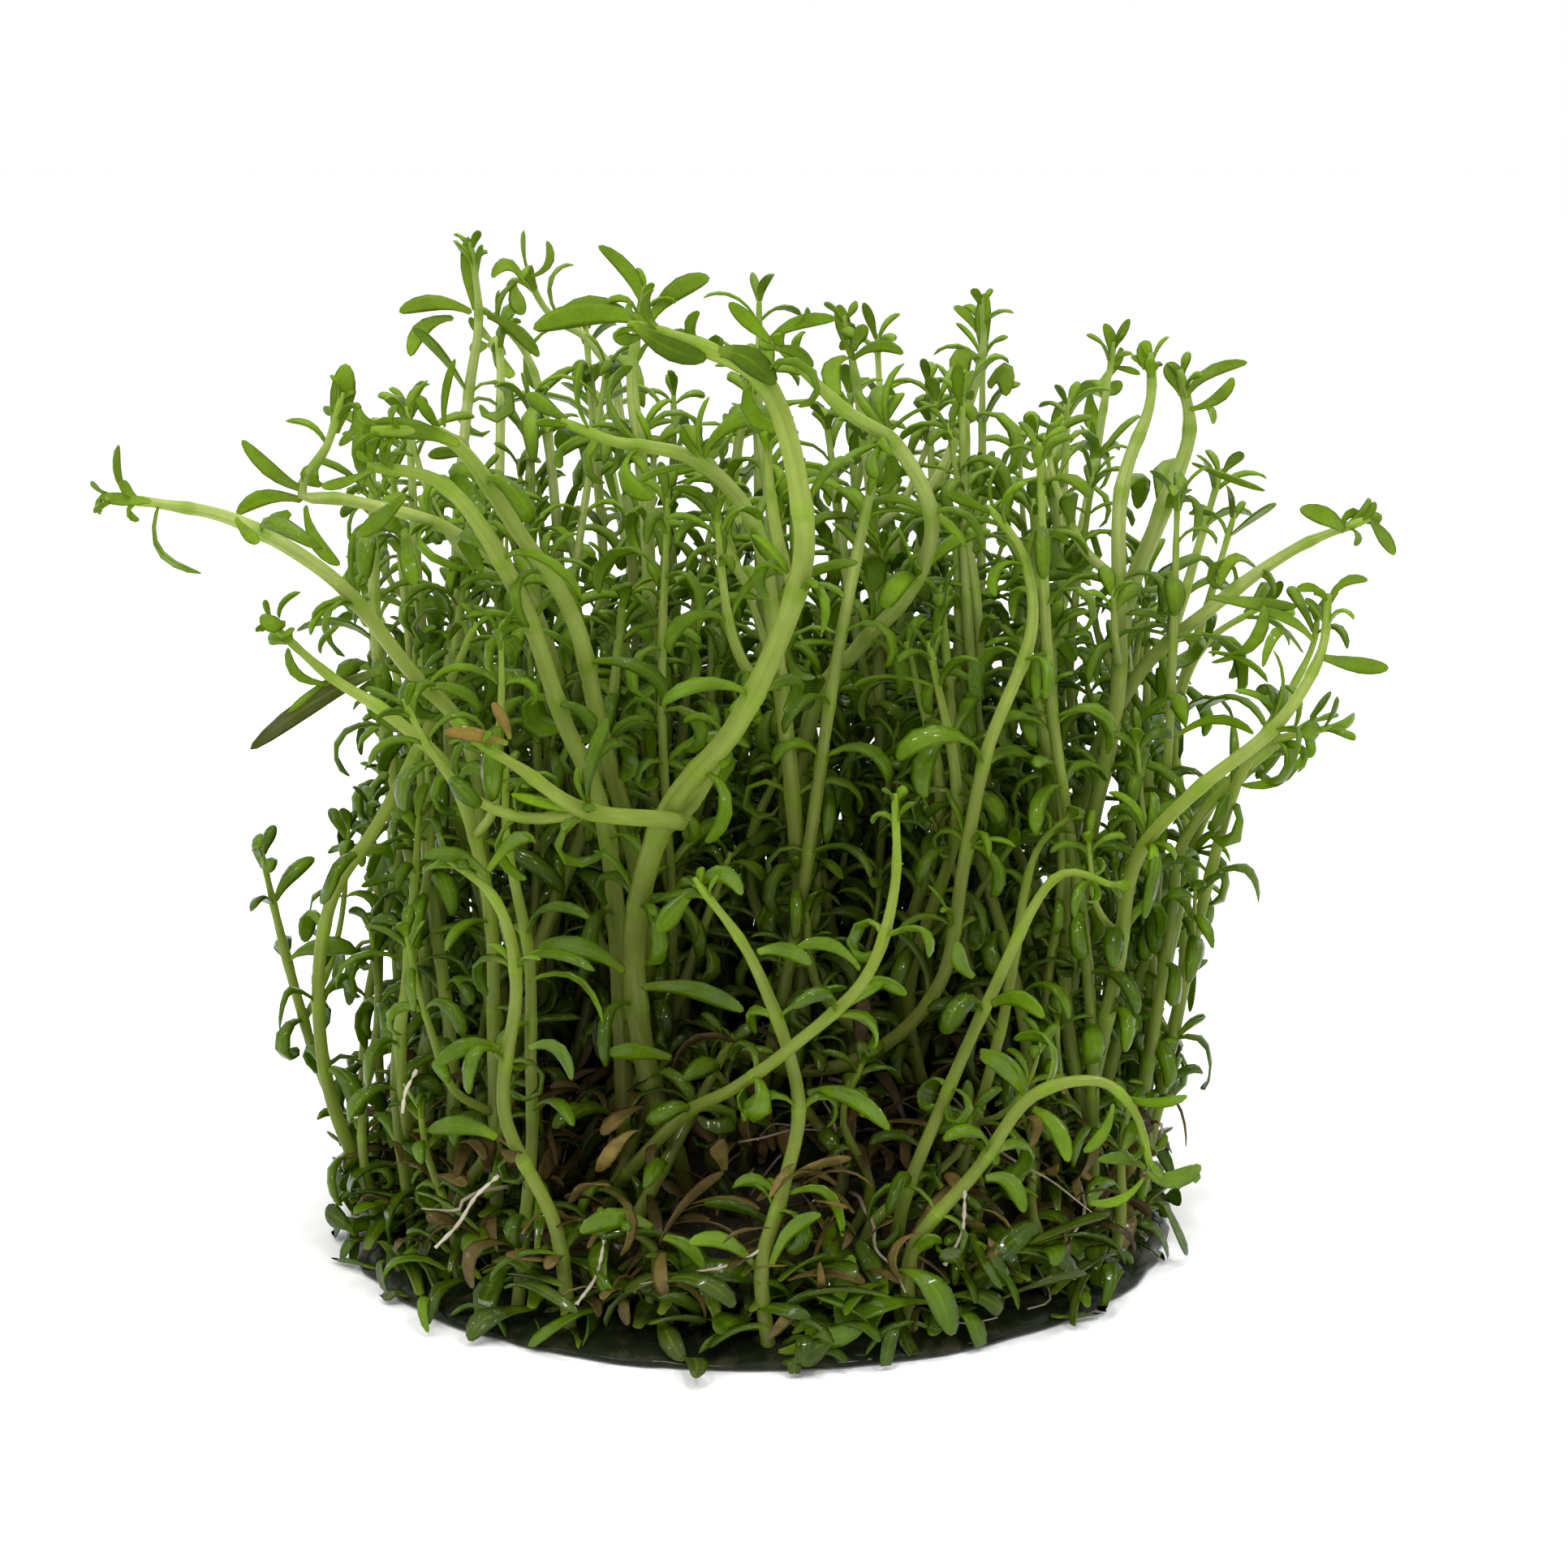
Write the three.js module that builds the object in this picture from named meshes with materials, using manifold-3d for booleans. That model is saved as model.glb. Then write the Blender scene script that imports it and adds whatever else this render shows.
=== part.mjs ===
// A clump of narrow-leaved stem plants as it leaves its culture cup: a thin round pad of
// culture gel, a mat of roots and dead leaves on it, and the plantlets that stand on both.
// Millimetres, +Z up. The origin is the middle of the pad's flat underside.
import * as THREE from 'three';
import { mergeVertices } from 'three/addons/utils/BufferGeometryUtils.js';
import Module from 'manifold-3d';

const wasm = await Module();
wasm.setup();

// ---- driving dimensions -------------------------------------------------------------
const PAD_RADIUS = 32;        // the inside of the culture cup's floor
const PAD_HEIGHT = 1.5;
const PAD_EDGE = 0.5;         // rounding of the pad's rim
const PAD_SIDES = 48;
const CLEARANCE = 0.3;        // air between two pieces that touch
const MAT_RADIUS = 24;
const MAT_EDGE = 0.8;         // the root mat's thickness at its rim
const MAT_CROWN = 5;          // how much it rises from its rim to its middle
const MAT_SIDES = 24;
const STEM_SIDES = 5;
const FEWEST_STEPS = 3;
const STEM_STEP = 8.5;        // length of stem between two sections of its tube
const FIRST_NODE = 1.5;       // distance from a stem's tip to its first pair of leaves
const INTERNODE = 7;          // full distance between two pairs of leaves
const BARE_FOOT = 6;          // stem without leaves above its foot
const TURN_PER_PLANT = 0.7;   // radians that each plantlet is turned on from the one before
const YOUNGEST_LEAF = 0.55;   // length of the top pair as a part of a grown leaf
const GROWTH_PER_PAIR = 0.2;
const LEAF_LENGTH = 9;        // along the curve of a grown leaf
const LEAF_HALF_WIDTH = 0.8;
const LEAF_RISE = 45;         // degrees between the stem and a leaf where it leaves it
const LEAF_CURL = 115;        // degrees that a leaf bends back over its length
const BLADE_FOOT = 0.45;      // width of a blade at its foot, as a part of its middle
const BLADE_FLATNESS = 0.7;   // thickness of a blade as a part of its width
const BLADES_PER_STEM = 3;    // leaves that are solid here, counted from the tip
const SMALLEST_STEP = 0.1;    // slivers under this are smoothed away
const BLADE_AIR = 1.1;        // space that a blade keeps to the next plantlet

// ---- the plantlets: name, stem radius, route of the stem's middle line ------------------
// A route runs from the foot to the tip. A foot is given as x, y alone, because its height
// follows from what it stands on; the fork of heart_1 starts on that stem instead.
const PLANTLETS = [
  ['front_1', 0.5, [[1, -30], [0.5, -30, 7], [2, -28, 12], [3, -27, 18.5], [0, -28, 28],
    [-4, -30, 34.5]]],
  ['front_2', 0.46, [[-12, -12], [-9.5, -18.5, 9.5], [-5, -22.5, 15.5], [-1.5, -26, 18.5], [2.5, -29.5, 22.5],
    [7.5, -30, 27.5], [9.5, -29, 33.5], [9.5, -28.5, 40]]],
  ['front_3', 0.5, [[-13, -26.5], [-14, -26, 8.5], [-17.5, -25, 16.5], [-16.5, -25, 25.5],
    [-17.5, -27, 32], [-21, -29, 36]]],
  ['front_4', 0.45, [[-17, -24], [-16.5, -22, 6.5], [-16, -20, 13], [-16, -20, 19], [-16, -20, 26.5],
    [-17.5, -19, 34.5], [-17.5, -18, 40]]],
  ['front_5', 0.42, [[-8, -26.5], [-7, -26, 6.5], [-10.5, -28, 9.5]]],
  ['front_6', 0.48, [[11, -27.5], [11, -27, 7], [15.5, -27, 13], [19, -28, 18.5], [23.5, -29, 20],
    [26, -30, 18], [27, -31, 14.5]]],
  ['front_7', 0.46, [[10, -20.5], [10.5, -23, 9], [13, -22, 15.5], [16.5, -21, 23.5], [21, -20, 32],
    [25.5, -20, 31.5]]],
  ['front_8', 0.42, [[14, -13.5], [15, -17, 9.5], [18, -15, 20.5], [20, -13, 31.5], [23, -12, 35]]],
  ['front_9', 0.5, [[-28.5, -4.5], [-32, -7, 11], [-32.5, -10, 20.5], [-31, -12, 28.5], [-27, -15, 35],
    [-23.5, -13, 41.5], [-20, -12, 49]]],
  ['front_10', 0.42, [[-29.5, 4.5], [-33.5, 0, 10.5], [-35, -3, 18], [-36, -6, 25.5],
    [-36.5, -9, 31.5]]],
  ['front_11', 0.45, [[-26, -4.5], [-26, -14, 16.5], [-25.5, -13, 23], [-25, -12, 29],
    [-24.5, -11, 35]]],
  ['heart_1', 0.8, [[-5, -15], [-5.5, -17, 9], [-8, -18, 18.5], [-8.5, -19, 28], [-6, -23, 37.5],
    [-1, -26, 44.5], [3, -30, 54.5], [3, -32, 61], [1, -32, 67.5], [-3, -32, 70], [-8, -31, 71.5]]],
  ['heart_1_fork', 0.58, [[-6.4, -24.8, 37.4], [-11.5, -29, 39], [-15.5, -30, 42], [-19, -31, 44.5]]],
  ['heart_2', 0.52, [[-8, -9.5], [-4.5, -7, 16], [3, -12, 15.5], [9, -13, 17.5], [13.5, -14, 23],
    [15, -15, 32], [16.5, -16, 40.5], [19.5, -15, 48.5], [19, -14, 54], [16.5, -13, 57.5]]],
  ['heart_3', 0.48, [[7, -5], [6.5, -7, 10.5], [6.5, -5, 18.5], [5, -1, 27], [4, 1.5, 32], [4, 3, 38.5],
    [5, 3, 44.5]]],
  ['heart_4', 0.42, [[-8, -3], [-5.5, -4, 17], [-7.5, -4, 33], [-10, -4, 48]]],
  ['heart_5', 0.42, [[5, 4], [2.5, 4, 19.5], [2, 4.5, 38.5], [2, 5, 56]]],
  ['heart_6', 0.42, [[12, -2], [15, -2, 18], [16, -1.5, 36], [16, -1, 52]]],
  ['heart_7', 0.42, [[-16, 2], [-17, 2, 17.5], [-18.5, 2.5, 34.5], [-20, 3, 50]]],
  ['left_1', 0.58, [[-18, -4.5], [-18, -5, 8], [-20, -9, 28.5], [-20.5, -14, 40.5],
    [-24.5, -16.5, 46.5], [-29, -19, 53], [-35, -22, 57.5], [-40, -24, 59], [-43.5, -25, 59.5]]],
  ['left_2', 0.5, [[-10.5, -2.5], [-11, -3, 10.5], [-13, -4, 33.5], [-16, -8, 49], [-21.5, -12, 55.5],
    [-28.5, -14, 58], [-32, -14, 58.5], [-30, -14, 62], [-29, -13, 65.5]]],
  ['left_3', 0.66, [[-8, -7], [-8, -5.5, 8.5], [-8.5, -10.5, 28.5], [-11, -15, 41.5],
    [-12.5, -20, 50.5], [-16, -23, 57], [-20, -26.5, 63.5], [-25, -29, 64.5]]],
  ['left_4', 0.68, [[-9.5, -13], [-9.5, -15, 10], [-10.5, -15, 33], [-13.5, -19, 43.5],
    [-15.5, -22, 51], [-18, -26.5, 57.5], [-21, -27.5, 61], [-25.5, -28, 62]]],
  ['left_5', 0.5, [[-19, -15.5], [-19, -16, 18], [-19, -17, 29], [-21, -20, 39], [-25, -22, 44],
    [-29, -23, 47], [-33, -24, 51]]],
  ['right_1', 0.55, [[24, -5.5], [24.5, -8, 9], [26.5, -11, 22.5], [27.5, -13, 31.5], [31, -17, 37.5],
    [36.5, -18, 42.5], [39.5, -18, 47.5], [40, -18, 52]]],
  ['right_2', 0.45, [[28, -5.5], [31, -6, 24.5], [31.5, -6, 30.5], [34, -7, 35], [38, -8, 39],
    [41, -9, 41.5]]],
  ['right_3', 0.58, [[22, 1], [22.5, 1, 13], [24.5, 0, 32.5], [28.5, -1.5, 43], [34, -4, 49],
    [39.5, -6, 53.5], [44.5, -8, 56]]],
  ['right_4', 0.45, [[27.5, 7.5], [33.5, 9, 13.5], [34, 10, 27.5], [33, 10, 37], [35, 10, 43.5],
    [40, 10, 47]]],
  ['right_5', 0.42, [[28.5, 2.5], [32, 2, 20.5], [34, 1, 31], [38, 0, 37.5], [41.5, -1, 44.5],
    [42, -2, 48]]],
  ['right_6', 0.45, [[26, 12], [29.5, 14, 12.5], [32.5, 16, 32.5], [36.5, 18, 46], [38.5, 19, 53]]],
  ['crown_1', 0.48, [[-21.5, 4.5], [-21.5, 5, 11.5], [-22.5, 7, 31], [-23.5, 9, 50], [-22.5, 10, 62.5],
    [-21.5, 10, 69], [-22, 10, 75]]],
  ['crown_2', 0.45, [[-14, 8], [-14, 8, 10.5], [-15, 10, 37], [-16, 11, 56], [-17.5, 12, 65],
    [-20.5, 12, 69.5]]],
  ['crown_3', 0.45, [[-9, 13.5], [-9, 14, 12.5], [-9.5, 16, 35.5], [-11, 17, 60.5], [-13, 17, 66.5],
    [-16.5, 17, 69], [-18.5, 17, 72.5]]],
  ['crown_4', 0.62, [[3.5, -7.5], [3.5, -9, 12.5], [3, -10, 31.5], [1.5, -13, 47], [0, -17, 56.5],
    [-4, -20, 61.5], [-9.5, -22, 63], [-13, -23, 64.5]]],
  ['crown_5', 0.58, [[-10, 1], [-9.5, 1, 13], [-8.5, 0, 32.5], [-8, -3, 51.5], [-8.5, -4, 60],
    [-9, -5, 66], [-8, -6, 72.5]]],
  ['crown_6', 0.62, [[1.5, -3], [1.5, -3, 10.5], [2.5, -4, 27], [4, -6, 41], [7.5, -8, 46.5],
    [11, -11, 51], [12.5, -14, 56.5], [10, -17, 62], [6, -19, 65], [1.5, -20, 69.5]]],
  ['crown_7', 0.48, [[8.5, 4], [8.5, 4, 12], [9.5, 4, 31.5], [9, 3, 51], [8, 2, 61.5], [6.5, 1, 70]]],
  ['crown_8', 0.48, [[7, 12], [7, 12, 9.5], [7.5, 13, 29.5], [10, 14, 48], [15, 14, 58],
    [17.5, 14, 65.5], [17.5, 14, 70.5]]],
  ['crown_9', 0.45, [[17, 8], [17.5, 8, 10.5], [19.5, 8, 30.5], [23, 7, 44], [23, 6, 53.5],
    [21, 5, 61]]],
  ['crown_10', 0.45, [[18, 22.5], [19.5, 24, 9.5], [23, 26.5, 33.5], [27, 28, 50.5], [29.5, 29, 66]]],
  ['crown_11', 0.62, [[22.5, -3.5], [23, -4, 11], [25, -3, 30], [27, -3.5, 42.5], [27, -2, 56.5],
    [29, -2, 63.5], [29, -2, 67.5]]],
  ['crown_12', 0.74, [[28, 5], [30, 6, 11.5], [30.5, 6, 31], [28, 4, 45.5], [30.5, 3, 54.5],
    [32.5, 2, 61], [31.5, 1, 66]]],
  ['back_1', 0.48, [[-24, 12], [-25.5, 17.5, 20], [-28, 22, 40], [-31, 26, 58], [-33, 30.5, 59]]],
  ['back_2', 0.48, [[-18, 20], [-21, 23.5, 22], [-22, 28.5, 44], [-22, 34, 64], [-23.5, 39, 65]]],
  ['back_3', 0.45, [[-9, 25], [-8, 28.5, 21], [-10.5, 34, 41.5], [-14, 40, 60]]],
  ['back_4', 0.52, [[0, 28], [-2.5, 31.5, 19], [-2.5, 36.5, 38], [-2, 42, 55], [-3, 49, 56]]],
  ['back_5', 0.45, [[9, 26], [11, 29, 23], [11, 33, 45.5], [10, 38, 66]]],
  ['back_6', 0.48, [[18.5, 20.5], [20, 22.5, 21], [22, 27, 41.5], [26, 33, 60], [29.5, 38, 61]]],
  ['back_7', 0.48, [[25, 14], [28, 18.5, 19.5], [33, 21.5, 38.5], [38, 24, 56]]],
  ['back_8', 0.45, [[29, -3], [31.5, -3.5, 14], [33.5, -6, 27], [36, -10, 38.5], [41, -15, 42]]],
  ['back_9', 0.48, [[-28, 3], [-28.5, 6, 17.5], [-29, 7.5, 34.5], [-30, 8, 50]]],
  ['back_10', 0.45, [[-14, 14], [-12, 16, 23.5], [-12.5, 19, 46.5], [-14, 22, 68]]],
  ['back_11', 0.45, [[4, 20], [1, 21.5, 24], [0, 23.5, 48], [0, 26, 70]]],
  ['back_12', 0.42, [[14, 14], [17, 17.5, 23], [18, 19, 45.5], [18, 20, 66]]],
  ['back_13', 0.48, [[-6, 29.5], [-7, 31, 12], [-9, 32, 25], [-14, 33.5, 41]]],
  ['back_14', 0.48, [[11, 28], [12.5, 30, 13], [14.5, 31, 27], [18, 36, 44]]],
  ['back_15', 0.45, [[23.5, 18.5], [25, 20.5, 13], [27.5, 22, 27], [31, 27.5, 41], [34.5, 31, 44]]],
  ['back_16', 0.45, [[-25, 17], [-26.5, 19, 13], [-28, 20.5, 27], [-31, 26, 41], [-33, 29, 44]]],
];

// ---- materials ---------------------------------------------------------------------
const finish = (color, roughness) => new THREE.MeshStandardMaterial({ color, roughness, metalness: 0 });
const gelFinish = finish(0x1d2010, 0.15);
const matFinish = finish(0x5a4a28, 0.6);
const shootFinish = finish(0x86a648, 0.4);

const object = new THREE.Group();

function addPiece(name, geometry, material) {
  const mesh = new THREE.Mesh(geometry, material);
  mesh.name = name;
  object.add(mesh);
}

// ---- solids: joining closed meshes ---------------------------------------------------
function toSolid(geometry) {
  const bare = geometry.clone();
  bare.deleteAttribute('normal');
  bare.deleteAttribute('uv');
  const merged = mergeVertices(bare, 1e-4);
  return new wasm.Manifold(new wasm.Mesh({
    numProp: 3,
    vertProperties: Float32Array.from(merged.attributes.position.array),
    triVerts: Uint32Array.from(merged.index.array),
  }));
}

function toGeometry(solid) {
  const { vertProperties, triVerts } = solid.getMesh();
  const geometry = new THREE.BufferGeometry();
  geometry.setAttribute('position', new THREE.BufferAttribute(vertProperties, 3));
  geometry.setIndex(new THREE.BufferAttribute(triVerts, 1));
  geometry.computeVertexNormals();
  return geometry;
}

// ---- the pad and the root mat: turned profiles ----------------------------------------
function turned(profile, sides) {
  const points = profile.map(([r, z]) => new THREE.Vector2(r, z));
  return new THREE.LatheGeometry(points, sides).rotateX(Math.PI / 2);
}

const MAT_FLOOR = PAD_HEIGHT + CLEARANCE;

function matTop(radius) {
  return MAT_FLOOR + MAT_EDGE + MAT_CROWN * (1 - (radius / MAT_RADIUS) ** 2);
}

function padGeometry() {
  return turned([
    [0, 0],
    [PAD_RADIUS - PAD_EDGE, 0],
    [PAD_RADIUS, PAD_EDGE],
    [PAD_RADIUS, PAD_HEIGHT - PAD_EDGE],
    [PAD_RADIUS - PAD_EDGE, PAD_HEIGHT],
    [0, PAD_HEIGHT],
  ], PAD_SIDES);
}

function matGeometry() {
  const crown = [1, 0.8, 0.5, 0].map((part) => [part * MAT_RADIUS, matTop(part * MAT_RADIUS)]);
  return turned([[0, MAT_FLOOR], [MAT_RADIUS, MAT_FLOOR], ...crown], MAT_SIDES);
}

// ---- a stem: a five-sided tube along its route ------------------------------------------
function footHeight(x, y, radius) {
  const reach = Math.hypot(x, y);
  const under = reach < MAT_RADIUS + radius ? matTop(Math.min(reach, MAT_RADIUS)) : PAD_HEIGHT;
  return under + CLEARANCE + radius / 2;
}

function stemCurve(radius, route) {
  const points = route.map(([x, y, z]) => new THREE.Vector3(x, y, z ?? footHeight(x, y, radius)));
  return new THREE.CatmullRomCurve3(points, false, 'catmullrom', 0.5);
}

function stemSection(radius) {
  const corners = [];
  for (let i = 0; i < STEM_SIDES; i++) {
    const turn = (2 * Math.PI * i) / STEM_SIDES;
    corners.push(new THREE.Vector2(radius * Math.cos(turn), radius * Math.sin(turn)));
  }
  return new THREE.Shape(corners);
}

function stemSteps(curve) {
  return Math.max(FEWEST_STEPS, Math.round(curve.getLength() / STEM_STEP));
}

function stemGeometry(radius, curve) {
  return new THREE.ExtrudeGeometry(stemSection(radius), {
    steps: stemSteps(curve),
    bevelEnabled: false,
    extrudePath: curve,
  });
}

// ---- leaves: opposite pairs, each pair a quarter turn from the last ----------------------
const RISE = THREE.MathUtils.degToRad(LEAF_RISE);
const CURL = THREE.MathUtils.degToRad(LEAF_CURL);

// The leaf's middle line at part of its length: a circular arc that leans out and bends back.
function leafPoint(leaf, part) {
  const bend = leaf.length / CURL;
  const out = bend * (Math.cos(RISE) - Math.cos(RISE + CURL * part));
  const up = bend * (Math.sin(RISE + CURL * part) - Math.sin(RISE));
  return leaf.foot.clone().addScaledVector(leaf.outward, out).addScaledVector(leaf.along, up);
}

// A point in the middle of the stem's tube, which runs straight from section to section.
function insideStem(curve, place) {
  const section = place * stemSteps(curve);
  const below = curve.getPointAt(Math.floor(section) / stemSteps(curve));
  const above = curve.getPointAt(Math.ceil(section) / stemSteps(curve));
  return below.lerp(above, section % 1);
}

// The leaves of one stem, from its tip downwards.
function leavesOf(plant) {
  const leaves = [];
  const length = plant.curve.getLength();
  const faces = new THREE.Vector3(0, 1, 0);
  let fromTip = FIRST_NODE;
  for (let pair = 0; fromTip < length - BARE_FOOT; pair++) {
    const place = 1 - fromTip / length;
    const along = plant.curve.getTangentAt(place);
    const side = new THREE.Vector3().crossVectors(faces, along).normalize();
    const turn = plant.number * TURN_PER_PLANT + (pair * Math.PI) / 2;
    const grown = Math.min(1, YOUNGEST_LEAF + GROWTH_PER_PAIR * pair);
    for (const flip of [0, Math.PI]) {
      leaves.push({
        foot: insideStem(plant.curve, place),
        along,
        outward: side.clone().applyAxisAngle(along, turn + flip),
        length: LEAF_LENGTH * grown,
      });
    }
    fromTip += INTERNODE * grown;
  }
  return leaves;
}

// A blade is a three-sided cone of two steps, narrowed at its foot and bent along the leaf's arc.
function bladeGeometry(leaf) {
  const cone = new THREE.ConeGeometry(LEAF_HALF_WIDTH, 1, 3, 2);
  const across = new THREE.Vector3().crossVectors(leaf.along, leaf.outward);
  const position = cone.attributes.position;
  for (let i = 0; i < position.count; i++) {
    const part = position.getY(i) + 0.5;
    const widen = BLADE_FOOT + (2 - BLADE_FOOT) * 2 * part;
    const middle = leafPoint(leaf, part);
    middle.addScaledVector(across, -position.getX(i) * widen);
    middle.addScaledVector(leaf.along, position.getZ(i) * widen * BLADE_FLATNESS);
    position.setXYZ(i, middle.x, middle.y, middle.z);
  }
  return cone;
}

// ---- growing the clump: stems first, then the blades that find room ------------------------
const plants = PLANTLETS.map(([name, radius, route], number) => {
  const curve = stemCurve(radius, route);
  const line = curve.getSpacedPoints(Math.ceil(curve.getLength()));
  return { name, number, radius, curve, line, blades: [], tips: [] };
});

function hasRoom(plant, leaf) {
  const trace = [0.4, 0.6, 0.8, 1].map((part) => leafPoint(leaf, part));
  if (trace.some((point) => point.z < PAD_HEIGHT + MAT_EDGE + MAT_CROWN)) {
    return false;
  }
  return plants.every((other) => {
    const stemAir = other.radius + BLADE_AIR;
    const free = other === plant ? trace.slice(1) : trace;
    const clearOfStem = free.every((point) => other.line.every((spot) => spot.distanceTo(point) > stemAir));
    const bladeAir = LEAF_HALF_WIDTH + BLADE_AIR;
    return clearOfStem
      && trace.every((point) => other.tips.every((spot) => spot.distanceTo(point) > bladeAir));
  });
}

plants.forEach((plant) => {
  plant.leaves = leavesOf(plant);
});
const mostLeaves = Math.max(...plants.map((plant) => plant.leaves.length));
for (let rank = 0; rank < mostLeaves; rank++) {
  for (const plant of plants) {
    const leaf = plant.leaves[rank];
    if (leaf && plant.blades.length < BLADES_PER_STEM && hasRoom(plant, leaf)) {
      plant.blades.push(leaf);
      plant.tips.push(...[0.25, 0.5, 0.75, 1].map((part) => leafPoint(leaf, part)));
    }
  }
}

addPiece('gel_pad', padGeometry(), gelFinish);
addPiece('root_mat', matGeometry(), matFinish);
for (const plant of plants) {
  let shoot = toSolid(stemGeometry(plant.radius, plant.curve));
  for (const leaf of plant.blades) {
    shoot = shoot.add(toSolid(bladeGeometry(leaf)));
  }
  addPiece(`plantlet_${plant.name}`, toGeometry(shoot.decompose()[0].simplify(SMALLEST_STEP)), shootFinish);
}

export default object;
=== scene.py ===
import math
import random

import bmesh
import bpy
from bpy.props import FloatProperty, FloatVectorProperty, IntProperty, PointerProperty
from mathutils import Matrix, Vector, noise


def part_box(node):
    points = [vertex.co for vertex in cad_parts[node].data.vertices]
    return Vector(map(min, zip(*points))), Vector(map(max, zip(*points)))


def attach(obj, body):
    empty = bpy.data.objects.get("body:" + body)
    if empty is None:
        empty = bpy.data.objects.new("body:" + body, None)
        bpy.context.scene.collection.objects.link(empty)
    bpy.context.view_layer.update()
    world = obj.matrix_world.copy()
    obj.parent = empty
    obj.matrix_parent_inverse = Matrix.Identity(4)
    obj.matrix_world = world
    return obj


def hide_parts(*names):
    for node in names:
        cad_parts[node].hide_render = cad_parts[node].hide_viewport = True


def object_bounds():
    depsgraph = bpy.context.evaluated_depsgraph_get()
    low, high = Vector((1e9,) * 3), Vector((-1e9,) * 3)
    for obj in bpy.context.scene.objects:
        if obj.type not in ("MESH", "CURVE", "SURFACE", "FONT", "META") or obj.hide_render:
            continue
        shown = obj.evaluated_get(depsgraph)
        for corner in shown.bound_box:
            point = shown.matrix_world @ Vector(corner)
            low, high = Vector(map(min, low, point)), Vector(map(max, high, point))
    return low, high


bl_info = {
    "name": "Stem plant clump",
    "version": (1, 0, 0),
    "blender": (4, 5, 0),
    "location": "View3D > Sidebar > Clump",
    "description": "Grows a cup-raised clump of narrow-leaved stem plants on its gel pad",
    "category": "Object",
}

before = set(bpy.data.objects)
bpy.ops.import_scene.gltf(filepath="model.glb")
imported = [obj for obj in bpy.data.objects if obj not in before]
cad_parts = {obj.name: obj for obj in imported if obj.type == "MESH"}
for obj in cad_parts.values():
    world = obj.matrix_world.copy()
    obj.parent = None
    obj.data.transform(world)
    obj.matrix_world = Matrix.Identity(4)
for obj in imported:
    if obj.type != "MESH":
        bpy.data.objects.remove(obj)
CAD_BOX = [list(corner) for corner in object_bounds()]

MM = 0.001
WHITE = (1.0, 1.0, 1.0, 1.0)
NODE_REACH = 0.7 * MM    # half the length of the swelling at a node
UP = Vector((0.0, 0.0, 1.0))
BACK = Vector((0.0, 1.0, 0.0))

PAD_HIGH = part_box("gel_pad")[1]
MAT_LOW, MAT_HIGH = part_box("root_mat")
PAD_RADIUS = PAD_HIGH[0]
PAD_TOP = PAD_HIGH[2]
LEAF_FLOOR = 0.4 * MM    # leaves sink into the wet gel, and at its rim they hang down to here
MAT_RADIUS = MAT_HIGH[0]
MAT_EDGE = 0.8 * MM      # the mat's thickness at its rim
FOOT_DEPTH = 0.8 * MM    # how far a stem reaches into the mat or the pad
FORK_DEPTH = 1.9 * MM    # how far a side branch reaches into the stem it leaves
CUP_RADIUS = 33.0 * MM   # the wall of the culture cup, which held the leaves in
WALL_NEAR = 27.0 * MM    # distance from the middle beyond which leaves feel the wall
CUP_HEIGHT = 43.0 * MM   # leaves that start above this are free of the wall
CUP_SLACK = 2.0 * MM     # how far a leaf gets past the wall beside a stem that leans out
WALL_GIVE = 0.45         # part of a leaf's reach past the wall that is left to it
WALL_TURN = 0.6          # how far a leaf by the wall turns to grow along it
MAT_CROWN = MAT_HIGH[2] - MAT_LOW[2] - MAT_EDGE

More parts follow.
